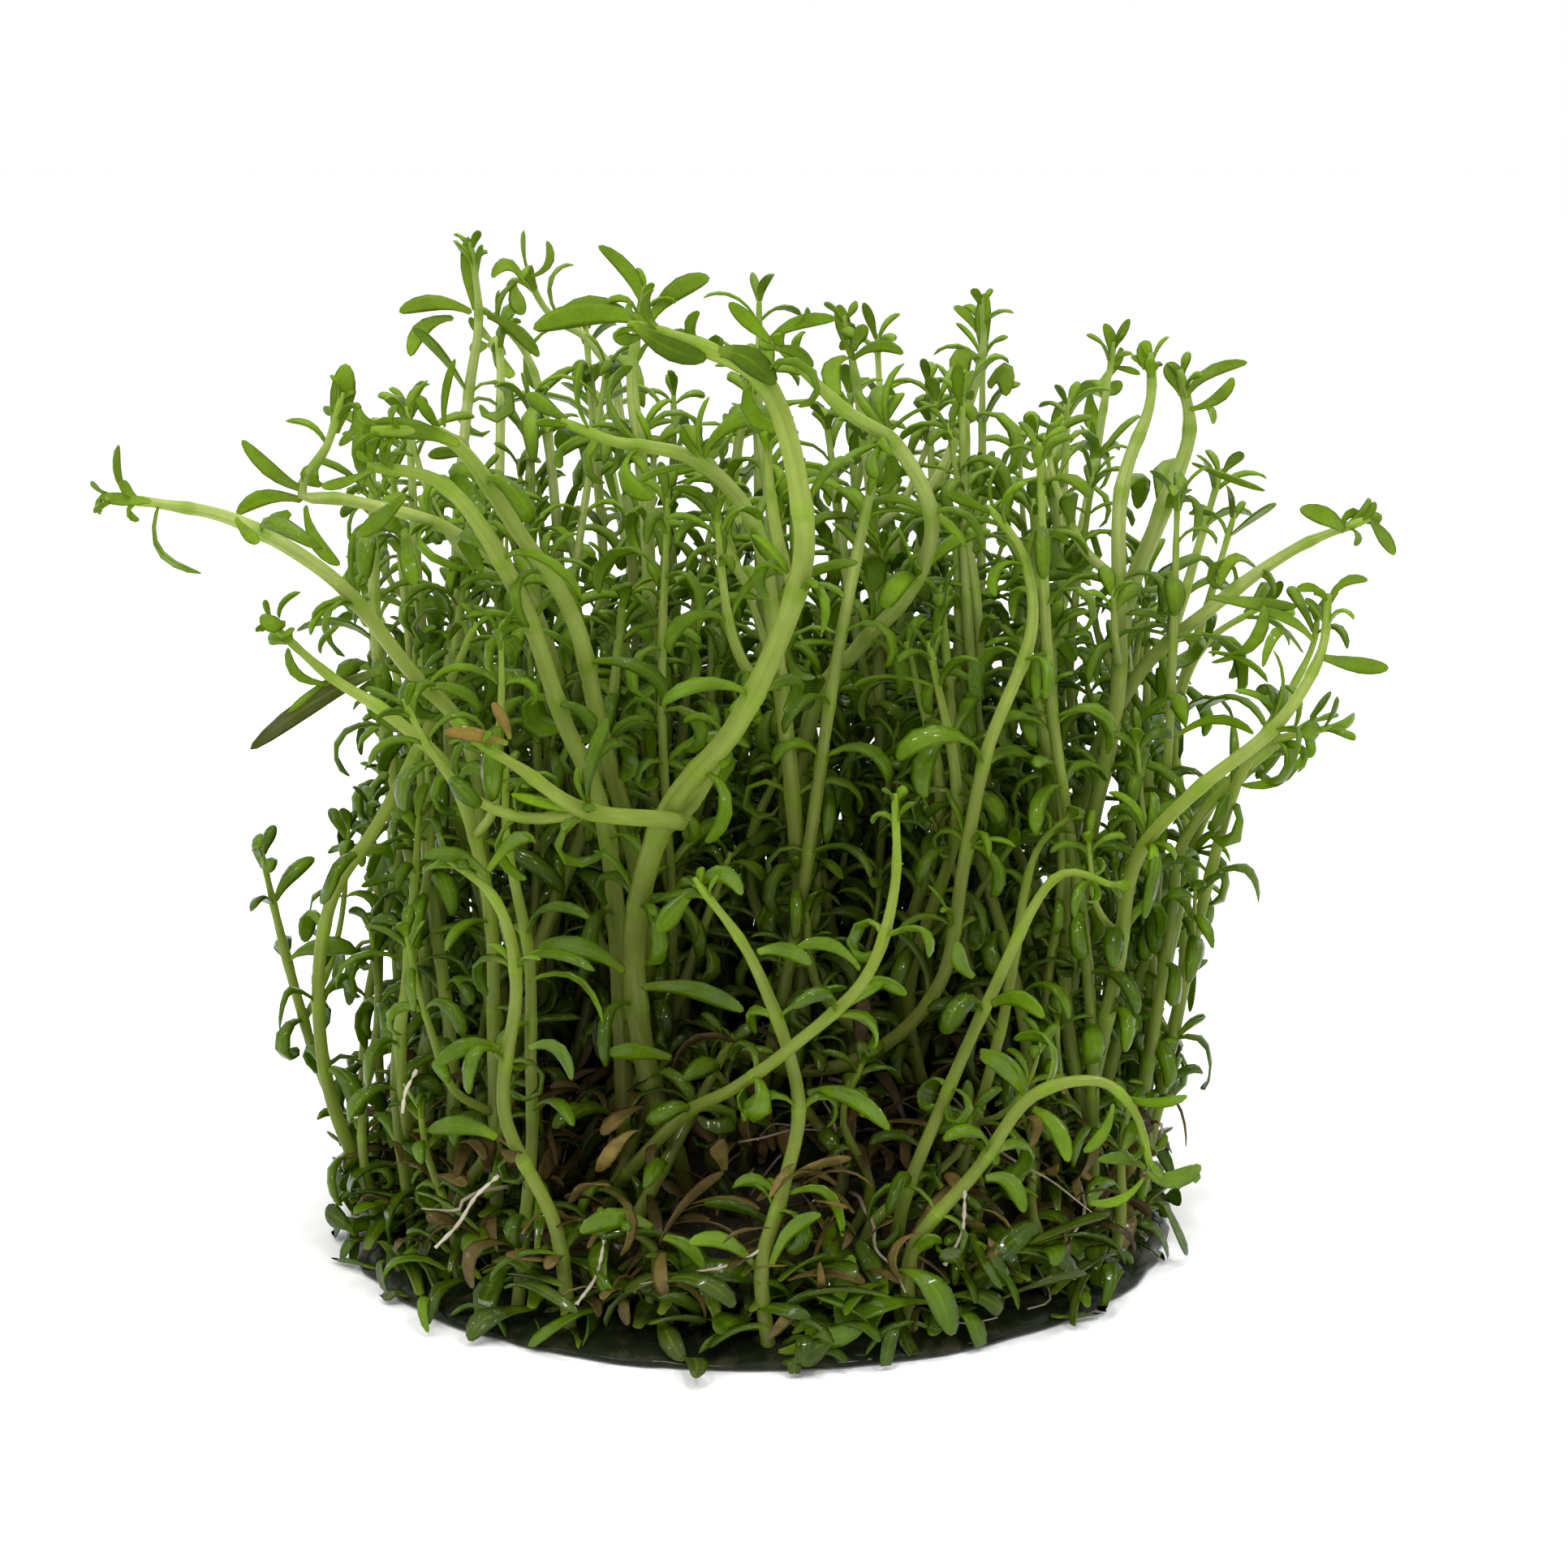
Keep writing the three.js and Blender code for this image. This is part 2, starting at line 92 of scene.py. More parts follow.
# The plantlets: name, stem radius, route of the stem's middle line from its foot to its tip, in
# millimetres. A foot has x and y alone, because its height follows from what it stands on.
PLANTLETS = (
    ("front_1", 0.5, ((1, -30), (0.5, -30, 7), (2, -28, 12), (3, -27, 18.5), (0, -28, 28),
      (-4, -30, 34.5))),
    ("front_2", 0.46, ((-12, -12), (-9.5, -18.5, 9.5), (-5, -22.5, 15.5), (-1.5, -26, 18.5),
      (2.5, -29.5, 22.5), (7.5, -30, 27.5), (9.5, -29, 33.5), (9.5, -28.5, 40))),
    ("front_3", 0.5, ((-13, -26.5), (-14, -26, 8.5), (-17.5, -25, 16.5), (-16.5, -25, 25.5),
      (-17.5, -27, 32), (-21, -29, 36))),
    ("front_4", 0.45, ((-17, -24), (-16.5, -22, 6.5), (-16, -20, 13), (-16, -20, 19), (-16, -20, 26.5),
      (-17.5, -19, 34.5), (-17.5, -18, 40))),
    ("front_5", 0.42, ((-8, -26.5), (-7, -26, 6.5), (-10.5, -28, 9.5))),
    ("front_6", 0.48, ((11, -27.5), (11, -27, 7), (15.5, -27, 13), (19, -28, 18.5), (23.5, -29, 20),
      (26, -30, 18), (27, -31, 14.5))),
    ("front_7", 0.46, ((10, -20.5), (10.5, -23, 9), (13, -22, 15.5), (16.5, -21, 23.5), (21, -20, 32),
      (25.5, -20, 31.5))),
    ("front_8", 0.42, ((14, -13.5), (15, -17, 9.5), (18, -15, 20.5), (20, -13, 31.5), (23, -12, 35))),
    ("front_9", 0.5, ((-28.5, -4.5), (-32, -7, 11), (-32.5, -10, 20.5), (-31, -12, 28.5), (-27, -15, 35),
      (-23.5, -13, 41.5), (-20, -12, 49))),
    ("front_10", 0.42, ((-29.5, 4.5), (-33.5, 0, 10.5), (-35, -3, 18), (-36, -6, 25.5),
      (-36.5, -9, 31.5))),
    ("front_11", 0.45, ((-26, -4.5), (-26, -14, 16.5), (-25.5, -13, 23), (-25, -12, 29),
      (-24.5, -11, 35))),
    ("heart_1", 0.8, ((-5, -15), (-5.5, -17, 9), (-8, -18, 18.5), (-8.5, -19, 28), (-6, -23, 37.5),
      (-1, -26, 44.5), (3, -30, 54.5), (3, -32, 61), (1, -32, 67.5), (-3, -32, 70), (-8, -31, 71.5))),
    ("heart_1_fork", 0.58, ((-6.4, -24.8, 37.4), (-11.5, -29, 39), (-15.5, -30, 42), (-19, -31, 44.5))),
    ("heart_2", 0.52, ((-8, -9.5), (-4.5, -7, 16), (3, -12, 15.5), (9, -13, 17.5), (13.5, -14, 23),
      (15, -15, 32), (16.5, -16, 40.5), (19.5, -15, 48.5), (19, -14, 54), (16.5, -13, 57.5))),
    ("heart_3", 0.48, ((7, -5), (6.5, -7, 10.5), (6.5, -5, 18.5), (5, -1, 27), (4, 1.5, 32), (4, 3, 38.5),
      (5, 3, 44.5))),
    ("heart_4", 0.42, ((-8, -3), (-5.5, -4, 17), (-7.5, -4, 33), (-10, -4, 48))),
    ("heart_5", 0.42, ((5, 4), (2.5, 4, 19.5), (2, 4.5, 38.5), (2, 5, 56))),
    ("heart_6", 0.42, ((12, -2), (15, -2, 18), (16, -1.5, 36), (16, -1, 52))),
    ("heart_7", 0.42, ((-16, 2), (-17, 2, 17.5), (-18.5, 2.5, 34.5), (-20, 3, 50))),
    ("left_1", 0.58, ((-18, -4.5), (-18, -5, 8), (-20, -9, 28.5), (-20.5, -14, 40.5),
      (-24.5, -16.5, 46.5), (-29, -19, 53), (-35, -22, 57.5), (-40, -24, 59), (-43.5, -25, 59.5))),
    ("left_2", 0.5, ((-10.5, -2.5), (-11, -3, 10.5), (-13, -4, 33.5), (-16, -8, 49), (-21.5, -12, 55.5),
      (-28.5, -14, 58), (-32, -14, 58.5), (-30, -14, 62), (-29, -13, 65.5))),
    ("left_3", 0.66, ((-8, -7), (-8, -5.5, 8.5), (-8.5, -10.5, 28.5), (-11, -15, 41.5),
      (-12.5, -20, 50.5), (-16, -23, 57), (-20, -26.5, 63.5), (-25, -29, 64.5))),
    ("left_4", 0.68, ((-9.5, -13), (-9.5, -15, 10), (-10.5, -15, 33), (-13.5, -19, 43.5),
      (-15.5, -22, 51), (-18, -26.5, 57.5), (-21, -27.5, 61), (-25.5, -28, 62))),
    ("left_5", 0.5, ((-19, -15.5), (-19, -16, 18), (-19, -17, 29), (-21, -20, 39), (-25, -22, 44),
      (-29, -23, 47), (-33, -24, 51))),
    ("right_1", 0.55, ((24, -5.5), (24.5, -8, 9), (26.5, -11, 22.5), (27.5, -13, 31.5), (31, -17, 37.5),
      (36.5, -18, 42.5), (39.5, -18, 47.5), (40, -18, 52))),
    ("right_2", 0.45, ((28, -5.5), (31, -6, 24.5), (31.5, -6, 30.5), (34, -7, 35), (38, -8, 39),
      (41, -9, 41.5))),
    ("right_3", 0.58, ((22, 1), (22.5, 1, 13), (24.5, 0, 32.5), (28.5, -1.5, 43), (34, -4, 49),
      (39.5, -6, 53.5), (44.5, -8, 56))),
    ("right_4", 0.45, ((27.5, 7.5), (33.5, 9, 13.5), (34, 10, 27.5), (33, 10, 37), (35, 10, 43.5),
      (40, 10, 47))),
    ("right_5", 0.42, ((28.5, 2.5), (32, 2, 20.5), (34, 1, 31), (38, 0, 37.5), (41.5, -1, 44.5),
      (42, -2, 48))),
    ("right_6", 0.45, ((26, 12), (29.5, 14, 12.5), (32.5, 16, 32.5), (36.5, 18, 46), (38.5, 19, 53))),
    ("crown_1", 0.48, ((-21.5, 4.5), (-21.5, 5, 11.5), (-22.5, 7, 31), (-23.5, 9, 50), (-22.5, 10, 62.5),
      (-21.5, 10, 69), (-22, 10, 75))),
    ("crown_2", 0.45, ((-14, 8), (-14, 8, 10.5), (-15, 10, 37), (-16, 11, 56), (-17.5, 12, 65),
      (-20.5, 12, 69.5))),
    ("crown_3", 0.45, ((-9, 13.5), (-9, 14, 12.5), (-9.5, 16, 35.5), (-11, 17, 60.5), (-13, 17, 66.5),
      (-16.5, 17, 69), (-18.5, 17, 72.5))),
    ("crown_4", 0.62, ((3.5, -7.5), (3.5, -9, 12.5), (3, -10, 31.5), (1.5, -13, 47), (0, -17, 56.5),
      (-4, -20, 61.5), (-9.5, -22, 63), (-13, -23, 64.5))),
    ("crown_5", 0.58, ((-10, 1), (-9.5, 1, 13), (-8.5, 0, 32.5), (-8, -3, 51.5), (-8.5, -4, 60),
      (-9, -5, 66), (-8, -6, 72.5))),
    ("crown_6", 0.62, ((1.5, -3), (1.5, -3, 10.5), (2.5, -4, 27), (4, -6, 41), (7.5, -8, 46.5),
      (11, -11, 51), (12.5, -14, 56.5), (10, -17, 62), (6, -19, 65), (1.5, -20, 69.5))),
    ("crown_7", 0.48, ((8.5, 4), (8.5, 4, 12), (9.5, 4, 31.5), (9, 3, 51), (8, 2, 61.5), (6.5, 1, 70))),
    ("crown_8", 0.48, ((7, 12), (7, 12, 9.5), (7.5, 13, 29.5), (10, 14, 48), (15, 14, 58),
      (17.5, 14, 65.5), (17.5, 14, 70.5))),
    ("crown_9", 0.45, ((17, 8), (17.5, 8, 10.5), (19.5, 8, 30.5), (23, 7, 44), (23, 6, 53.5),
      (21, 5, 61))),
    ("crown_10", 0.45, ((18, 22.5), (19.5, 24, 9.5), (23, 26.5, 33.5), (27, 28, 50.5), (29.5, 29, 66))),
    ("crown_11", 0.62, ((22.5, -3.5), (23, -4, 11), (25, -3, 30), (27, -3.5, 42.5), (27, -2, 56.5),
      (29, -2, 63.5), (29, -2, 67.5))),
    ("crown_12", 0.74, ((28, 5), (30, 6, 11.5), (30.5, 6, 31), (28, 4, 45.5), (30.5, 3, 54.5),
      (32.5, 2, 61), (31.5, 1, 66))),
    ("back_1", 0.48, ((-24, 12), (-25.5, 17.5, 20), (-28, 22, 40), (-31, 26, 58), (-33, 30.5, 59))),
    ("back_2", 0.48, ((-18, 20), (-21, 23.5, 22), (-22, 28.5, 44), (-22, 34, 64), (-23.5, 39, 65))),
    ("back_3", 0.45, ((-9, 25), (-8, 28.5, 21), (-10.5, 34, 41.5), (-14, 40, 60))),
    ("back_4", 0.52, ((0, 28), (-2.5, 31.5, 19), (-2.5, 36.5, 38), (-2, 42, 55), (-3, 49, 56))),
    ("back_5", 0.45, ((9, 26), (11, 29, 23), (11, 33, 45.5), (10, 38, 66))),
    ("back_6", 0.48, ((18.5, 20.5), (20, 22.5, 21), (22, 27, 41.5), (26, 33, 60), (29.5, 38, 61))),
    ("back_7", 0.48, ((25, 14), (28, 18.5, 19.5), (33, 21.5, 38.5), (38, 24, 56))),
    ("back_8", 0.45, ((29, -3), (31.5, -3.5, 14), (33.5, -6, 27), (36, -10, 38.5), (41, -15, 42))),
    ("back_9", 0.48, ((-28, 3), (-28.5, 6, 17.5), (-29, 7.5, 34.5), (-30, 8, 50))),
    ("back_10", 0.45, ((-14, 14), (-12, 16, 23.5), (-12.5, 19, 46.5), (-14, 22, 68))),
    ("back_11", 0.45, ((4, 20), (1, 21.5, 24), (0, 23.5, 48), (0, 26, 70))),
    ("back_12", 0.42, ((14, 14), (17, 17.5, 23), (18, 19, 45.5), (18, 20, 66))),
    ("back_13", 0.48, ((-6, 29.5), (-7, 31, 12), (-9, 32, 25), (-14, 33.5, 41))),
    ("back_14", 0.48, ((11, 28), (12.5, 30, 13), (14.5, 31, 27), (18, 36, 44))),
    ("back_15", 0.45, ((23.5, 18.5), (25, 20.5, 13), (27.5, 22, 27), (31, 27.5, 41), (34.5, 31, 44))),
    ("back_16", 0.45, ((-25, 17), (-26.5, 19, 13), (-28, 20.5, 27), (-31, 26, 41), (-33, 29, 44))),
)

# The leaves that give the clump its outline: foot, bend and tip in millimetres, width, degrees that the
# leaf is turned edge-on to the front and, for a few, a tint: 0 is the dark old leaf colour, which is partly
# painted shade, -1 browned and -2 orange.
OUTLINE_LEAVES = {
    "left_1": (
        ((-40.4, -25, 59.3), (-41.8, -25.5, 59.4), (-43.9, -25, 59.6), 0.9, 20),
        ((-43.7, -25, 59.6), (-44.1, -25, 59.3), (-44, -24.5, 58.3), 0.5, 40),
        ((-41.8, -25, 59.5), (-43, -25, 60.9), (-42.2, -26, 63.2), 0.6, 60),
        ((-40, -24, 59.2), (-41.6, -26, 55.4), (-36.8, -27, 54.7), 0.6, 65),
    ),
    "left_2": (
        ((-31.6, -14, 58.7), (-33.7, -15.5, 59.6), (-35.7, -16, 62.5), 1.1, 15),
        ((-31.9, -14, 58), (-34.8, -15, 59.1), (-36.1, -17, 57.4), 1.2, 10),
        ((-31.7, -14, 57.7), (-31.3, -16, 55.1), (-29.1, -16, 53.7), 1.1, 15),
        ((-32.8, -14, 57.2), (-33.5, -15, 56.8), (-34.1, -16, 56.2), 1.3, 10),
        ((-29.7, -13, 62.6), (-28.9, -13, 64.9), (-28.8, -12.5, 67.5), 1.8, 5),
        ((-30.1, -13, 61.6), (-30.9, -13, 63.9), (-33.1, -13, 63.5), 0.5, 60),
        ((-30.5, -13.5, 59), (-31.9, -15, 59.5), (-30.8, -14, 60.6), 1.4, 10),
        ((-28.9, -13, 62.3), (-27.6, -12, 63.3), (-28.3, -12, 64.5), 0.9, 20),
    ),
    "left_4": (
        ((-19.3, -28, 63.4), (-22.6, -28, 65.1), (-25.7, -28.5, 64.3), 1.5, 5),
        ((-25, -26, 59.7), (-26.9, -27, 62.3), (-25.7, -27, 64.8), 1.0, 25),
        ((-20.5, -26, 64.3), (-20.7, -26, 66.8), (-19.7, -26, 68.9), 0.6, 45),
        ((-20.9, -26, 64.2), (-21.4, -27, 65.3), (-22.2, -27, 66.4), 0.8, 20),
    ),
    "left_3": (
        ((-24.9, -29, 61.9), (-27.1, -29, 60.7), (-28.4, -29, 60.8), 0.8, 30),
        ((-23.2, -26, 59.8), (-24.6, -28, 58.5), (-26, -29, 57.5), 1.2, 10),
        ((-23.6, -24, 57.4), (-23.2, -27, 55.6), (-22.6, -27, 53.9), 1.2, 10),
        ((-34.1, -29, 58.7), (-33.2, -30, 57.6), (-32.4, -30, 57.2), 0.9, 15),
    ),
    "left_5": (
        ((-31.8, -24, 50.9), (-32.4, -25, 50.5), (-33.3, -25, 51.6), 1.2, 15),
        ((-32.2, -24, 51.2), (-32.3, -24, 52.4), (-30.7, -24, 53), 0.4, 70),
        ((-29.1, -22.5, 46.4), (-32, -24, 46.7), (-31.7, -24, 49.2), 0.8, 35),
        ((-29.2, -22.5, 46.8), (-31, -23, 45.5), (-32, -23, 44.5), 0.5, 60),
        ((-25.8, -20, 46.9), (-29.6, -22, 46.2), (-34.7, -23, 41.9), 1.4, 5, -1.0),
        ((-29.6, -23, 48.6), (-29.9, -23, 49.5), (-28.3, -23, 50.5), 0.4, 60),
    ),
    "crown_1": (
        ((-21.7, 10, 69.7), (-22.4, 10, 72.7), (-22.2, 10, 75.4), 1.2, 10),
        ((-22, 10, 69.6), (-24.8, 9, 71.2), (-27.5, 9, 69.7), 1.3, 15),
        ((-23.4, 10, 69.2), (-26.3, 9, 69.3), (-26.6, 8, 66.4), 1.3, 15),
        ((-21.6, 10, 71.8), (-21.6, 10, 73.8), (-21.1, 10, 74.8), 0.5, 60),
        ((-20.9, 10, 69.4), (-18.4, 10, 68.7), (-16.8, 9, 66.3), 1.2, 25),
        ((-22.2, 9, 58.8), (-24.2, 7, 59.3), (-25.2, 6, 59), 1.0, 20),
    ),
    "crown_2": (
        ((-17.7, 12, 72.2), (-15.4, 12, 72.9), (-16.3, 12, 75), 0.7, 20),
        ((-18, 12, 71.6), (-19.2, 11, 74.5), (-20.5, 11, 72.2), 1.1, 30),
        ((-18.9, 12, 71.7), (-18.9, 11, 70.6), (-18.1, 11, 69.4), 1.3, 10),
        ((-18.5, 12, 72), (-20.4, 11, 71.1), (-20.1, 11, 69.2), 0.5, 60),
    ),
    "crown_5": (
        ((-7.9, -6, 70.1), (-8.1, -6, 73.5), (-11.3, -6, 75.4), 1.1, 10),
        ((-7.7, -6, 70), (-6.1, -6, 72.8), (-3.3, -6, 73.1), 1.5, 10),
        ((-7.7, -6, 69.9), (-11.8, -7, 71.6), (-16, -7, 69.5), 1.8, 5),
        ((-8.3, -6, 69.7), (-11.5, -5, 72.5), (-14.6, -4, 70.1), 1.3, 30),
    ),
    "crown_6": (
        ((1.2, -20, 69.5), (-0.1, -20, 70.7), (-1.7, -20, 72.2), 1.1, 10),
        ((1, -20, 69.6), (2.5, -20, 71.3), (5.6, -20, 71.1), 1.0, 10),
        ((2.7, -20, 70.6), (3.8, -20, 70.8), (3.6, -20, 71.9), 0.5, 30),
        ((1.4, -20, 69.1), (3.1, -21, 69.3), (4, -22, 68), 1.0, 20),
    ),
    "heart_1_fork": (
        ((-16.2, -31, 43.9), (-18.1, -31.5, 44.8), (-20.4, -31.5, 44.8), 1.0, 15, -1.8),
        ((-16.1, -31, 44.2), (-16.3, -31.5, 45.6), (-17.2, -31.5, 46.8), 0.8, 15, -1.8),
    ),
    "heart_1": (
        ((-7.6, -32, 71.6), (-5.8, -33, 69.8), (-2.9, -32.6, 69.4), 1.5, 12, 0.15),
        ((-2.2, -32.6, 69.8), (-0.4, -33.2, 70.2), (1.5, -33, 67.8), 1.7, 12, 0.1),
        ((-3.4, -31, 69.9), (-4.7, -31, 71.5), (-3.4, -31, 72.3), 0.8, 20),
        ((-2.5, -31, 69.4), (-4.1, -30, 71), (-5.3, -30, 70.8), 0.8, 20),
        ((-7.2, -31, 70.7), (-8.3, -31, 70.2), (-8.9, -31, 71), 1.0, 20),
        ((-3, -31, 70.2), (-1.9, -32, 71), (-2.2, -32, 69.9), 0.8, 20),
    ),
    "crown_7": (
        ((7.1, 1, 66.8), (6.5, 1, 69), (6.1, 1, 70.8), 1.2, 5),
        ((7.2, 1, 67.3), (7.4, 1, 68.7), (8.3, 1, 69.1), 1.2, 15),
        ((7.1, 1, 66.7), (9.1, 0, 68.7), (10.9, 0, 67.2), 1.0, 25),
        ((6.8, 1, 66.9), (4.6, 0, 66.6), (6.1, -1, 64.2), 1.5, 10),
    ),
    "crown_8": (
        ((17.8, 14, 65.8), (17.4, 14, 68.4), (17.8, 14, 70.9), 1.3, 5),
        ((17.4, 14, 67.4), (16.6, 14, 69.4), (15.3, 14, 69.8), 0.8, 20),
        ((17.5, 14, 65.9), (15.1, 13, 67.2), (15.9, 12, 63.1), 1.8, 5),
        ((18.1, 14, 63.5), (19.7, 13, 66.2), (19.4, 12, 63), 2.0, 5),
    ),
    "crown_10": (
        ((29.2, 29, 64.4), (29.6, 29, 66.1), (28.6, 29, 67.5), 1.0, 10),
        ((29.4, 29, 65.4), (29.9, 29, 66.4), (30.7, 29, 67.9), 0.8, 10),
        ((29.2, 29, 63.9), (30.7, 29, 63.9), (31.7, 29, 63.3), 0.6, 20),
    ),
    "crown_11": (
        ((28.7, -2, 66.2), (28.2, -2, 67.4), (28.9, -2, 68.3), 1.2, 5),
        ((28.4, -2, 66.4), (27.9, -2, 67.3), (27.6, -2, 67), 0.5, 20),
    ),
    "crown_12": (
        ((31.8, 1, 64), (31.1, 1, 65.7), (30.6, 1, 66.5), 1.4, 15),
        ((32, 1, 63.8), (33, 1, 66.3), (36.6, 1, 66.5), 1.0, 15),
        ((32.3, 1, 63), (34.8, 0, 63.6), (35.4, 0, 65.5), 1.0, 15),
        ((33.2, 1, 63.3), (34.2, 0, 63.4), (34, 0, 62), 0.6, 15),
        ((31.7, 1, 63.9), (31.5, 1, 65.4), (31.7, 1, 66.3), 0.6, 15),
        ((32.7, 2, 58.9), (34.6, 1, 58.1), (38.1, 0, 57), 0.6, 50),
    ),
    "right_3": (
        ((42.7, -8, 55), (41.6, -9, 56.4), (39.2, -9, 56.8), 1.4, 10),
        ((42.4, -8, 55.2), (43.1, -7, 57.1), (44, -7, 55.7), 0.8, 15),
        ((44.5, -8, 55.9), (45.4, -8, 55), (46.4, -8, 53.3), 1.0, 10),
        ((37.4, -3, 51.4), (34.8, -5, 54.3), (34, -6, 50.6), 0.9, 40),
        ((36.2, -4, 50.9), (37.7, -6, 52.7), (37.9, -7, 50.1), 0.8, 40),
    ),
    "right_1": (
        ((39.7, -18, 51.9), (38.7, -18, 52.8), (37.7, -18, 52.2), 0.7, 20),
        ((40.2, -18, 51.6), (40.8, -18, 53.5), (42.7, -18, 52.9), 0.8, 20),
        ((39.4, -18, 47.6), (41.8, -19, 47), (44.2, -19, 46.9), 1.2, 5),
        ((39.1, -18, 48.5), (37.9, -18, 50.4), (35.2, -17, 50.7), 0.8, 25),
        ((38.7, -16, 47.4), (36.4, -18, 51.6), (35.4, -19, 46.9), 0.8, 40),
        ((32.6, -13, 46.2), (36, -17, 47.6), (35.5, -18, 51.2), 1.1, 20),
        ((32.3, -13, 47), (34.9, -16, 47.4), (36.1, -17, 45.5), 0.5, 55),
        ((37, -17, 43.2), (35.6, -18, 45.2), (33.6, -18, 45.1), 0.5, 55),
        ((36.5, -10, 40), (40.7, -14, 40.9), (38.7, -15, 38.6), 0.8, 30),
        ((40, -10, 39.2), (38.5, -13, 36.8), (34.8, -14, 37.5), 0.8, 35),
        ((30.3, -12, 40.6), (32.9, -15, 43.8), (35.4, -16, 41.6), 0.9, 25),
        ((31.8, -16, 51.5), (34.7, -17, 51.1), (38, -17, 50.9), 1.0, 10),
    ),
    "front_6": (
        ((29.5, -31, 14), (30.4, -31, 13.1), (29.9, -31, 14.4), 0.8, 20),
        ((18.9, -27, 17.9), (17.6, -28, 21), (15.4, -29, 21.8), 1.2, 15),
        ((19.2, -27, 17.4), (21.1, -29, 17.3), (21.5, -30, 14.5), 1.3, 15),
        ((24.8, -29, 19), (27.2, -30, 18.2), (29.4, -31, 19.6), 0.9, 25),
        ((24.6, -29, 18.4), (24.4, -29, 16), (22.6, -29, 14.9), 0.9, 35),
        ((26.7, -31, 14.2), (28.2, -32, 13.1), (30.3, -32, 15), 1.4, 10),
        ((26.7, -31, 14.4), (25.5, -31, 15.5), (23.4, -31, 15), 0.9, 20),
        ((26.6, -31, 13.8), (25.2, -32, 11.8), (22.8, -32, 12.3), 0.7, 30),
        ((10.8, -27, 6.3), (12, -28, 8.9), (13, -28, 7.9), 1.3, 15),
        ((16, -27, 12.3), (18.1, -28, 13.4), (18.6, -29, 10.5), 1.4, 15),
    ),
    "front_3": (
        ((-17.6, -25, 21.1), (-19.9, -26, 22.4), (-22, -27, 20.5), 1.3, 20),
        ((-15.8, -25, 21.1), (-13.1, -26, 22.7), (-12.6, -27, 19.4), 1.3, 25),
        ((-17.9, -26, 14.9), (-20.1, -27, 16.9), (-22.5, -28, 16.1), 1.5, 10),
        ((-15.7, -25, 25.9), (-11.6, -26, 28.2), (-10.4, -27, 23.4), 0.6, 60),
        ((-18.1, -28, 34.1), (-19.6, -29, 36.6), (-22.2, -30, 36), 1.1, 20),
        ((-18.1, -28, 34.4), (-15.7, -29, 38.3), (-14.6, -30, 36.9), 1.2, 20),
    ),
    "front_4": (
        ((-9.2, -20, 25.2), (-11.9, -22, 28.5), (-15.2, -23, 27.8), 1.5, 15),
        ((-8.1, -20, 24.1), (-4.2, -22, 25.3), (-0.7, -24, 23.5), 1.5, 15),
        ((-5.9, -20, 18.9), (-8.3, -22, 20.3), (-10.4, -23, 20.2), 1.3, 15),
    ),
    "front_2": (
        ((-4.1, -29, 33.5), (-1.8, -30, 36.2), (-0.8, -30, 33.3), 1.5, 20),
        ((-4.2, -29, 33.3), (-5.6, -30, 32.1), (-6.4, -31, 31.1), 1.5, 10),
        ((0.2, -28.7, 29), (2.3, -29.7, 30.1), (3.9, -30.7, 28.7), 1.3, 15),
        ((3.6, -25.4, 17.9), (6.7, -27.4, 19.6), (9.3, -29.4, 16.6), 1.5, 15),
    ),
    "front_7": (
        ((7.4, -22, 25.9), (5.6, -23, 29), (2.9, -24, 28.1), 1.0, 25),
        ((7.6, -22, 25.3), (9.2, -23, 25.6), (10.6, -24, 24.7), 1.1, 20),
        ((15.8, -22, 20), (17.9, -24, 20.3), (19, -25, 17.9), 1.3, 15),
        ((16.6, -22, 23.4), (18.5, -24, 25.4), (20.1, -25, 23.3), 1.5, 15),
        ((15.4, -22, 25.4), (13.9, -23, 26.5), (14.1, -24, 28.5), 1.2, 15),
    ),
    "front_1": (
        ((1.5, -28, 11.5), (0, -29, 13.9), (-1.4, -30, 12.8), 0.8, 25),
        ((2.3, -28, 11.5), (5.9, -29, 13.7), (6.1, -30, 9), 1.0, 25),
        ((0.1, -30, 6.9), (-1.9, -31, 10.3), (-4.5, -31, 9), 1.2, 20),
        ((1.1, -30, 6.9), (2.2, -31, 10.9), (4.6, -31, 11.1), 1.2, 20),
        ((1.6, -31, 1), (4.7, -32, 2.2), (7.6, -31, 3), 1.6, 5),
    ),
    "front_5": (
        ((-7.1, -27, 8.6), (-9.7, -28, 10.7), (-12.1, -29, 9.1), 1.7, 10),
        ((-6.6, -27, 8), (-4.6, -28, 8.3), (-3.5, -29, 6.5), 1.2, 15),
    ),
    "front_8": (
        ((5.8, -29, 2.3), (5.9, -29, 4.8), (6.8, -28, 7.1), 1.5, 10),
    ),
}

# White shreds of old sheaths that hang on the front stems, in millimetres.
SHREDS = (
    ((-17.8, -26.6, 12.4), (-19.4, -27, 11), (-20.6, -27.6, 9.2), (-22.2, -28, 7.6)),
    ((-23.6, -24.4, 19.4), (-24.4, -24.6, 17.8), (-24.6, -25, 16.4)),
    ((14.6, -27.4, 11.6), (14.4, -27.8, 8.6), (13.2, -28.2, 6.4)),
    ((-10.4, -27.6, 8.4), (-11, -28, 5.6), (-12.4, -28.4, 3.6)),
)


# ---- sizes and colours that a user would change ------------------------------------------


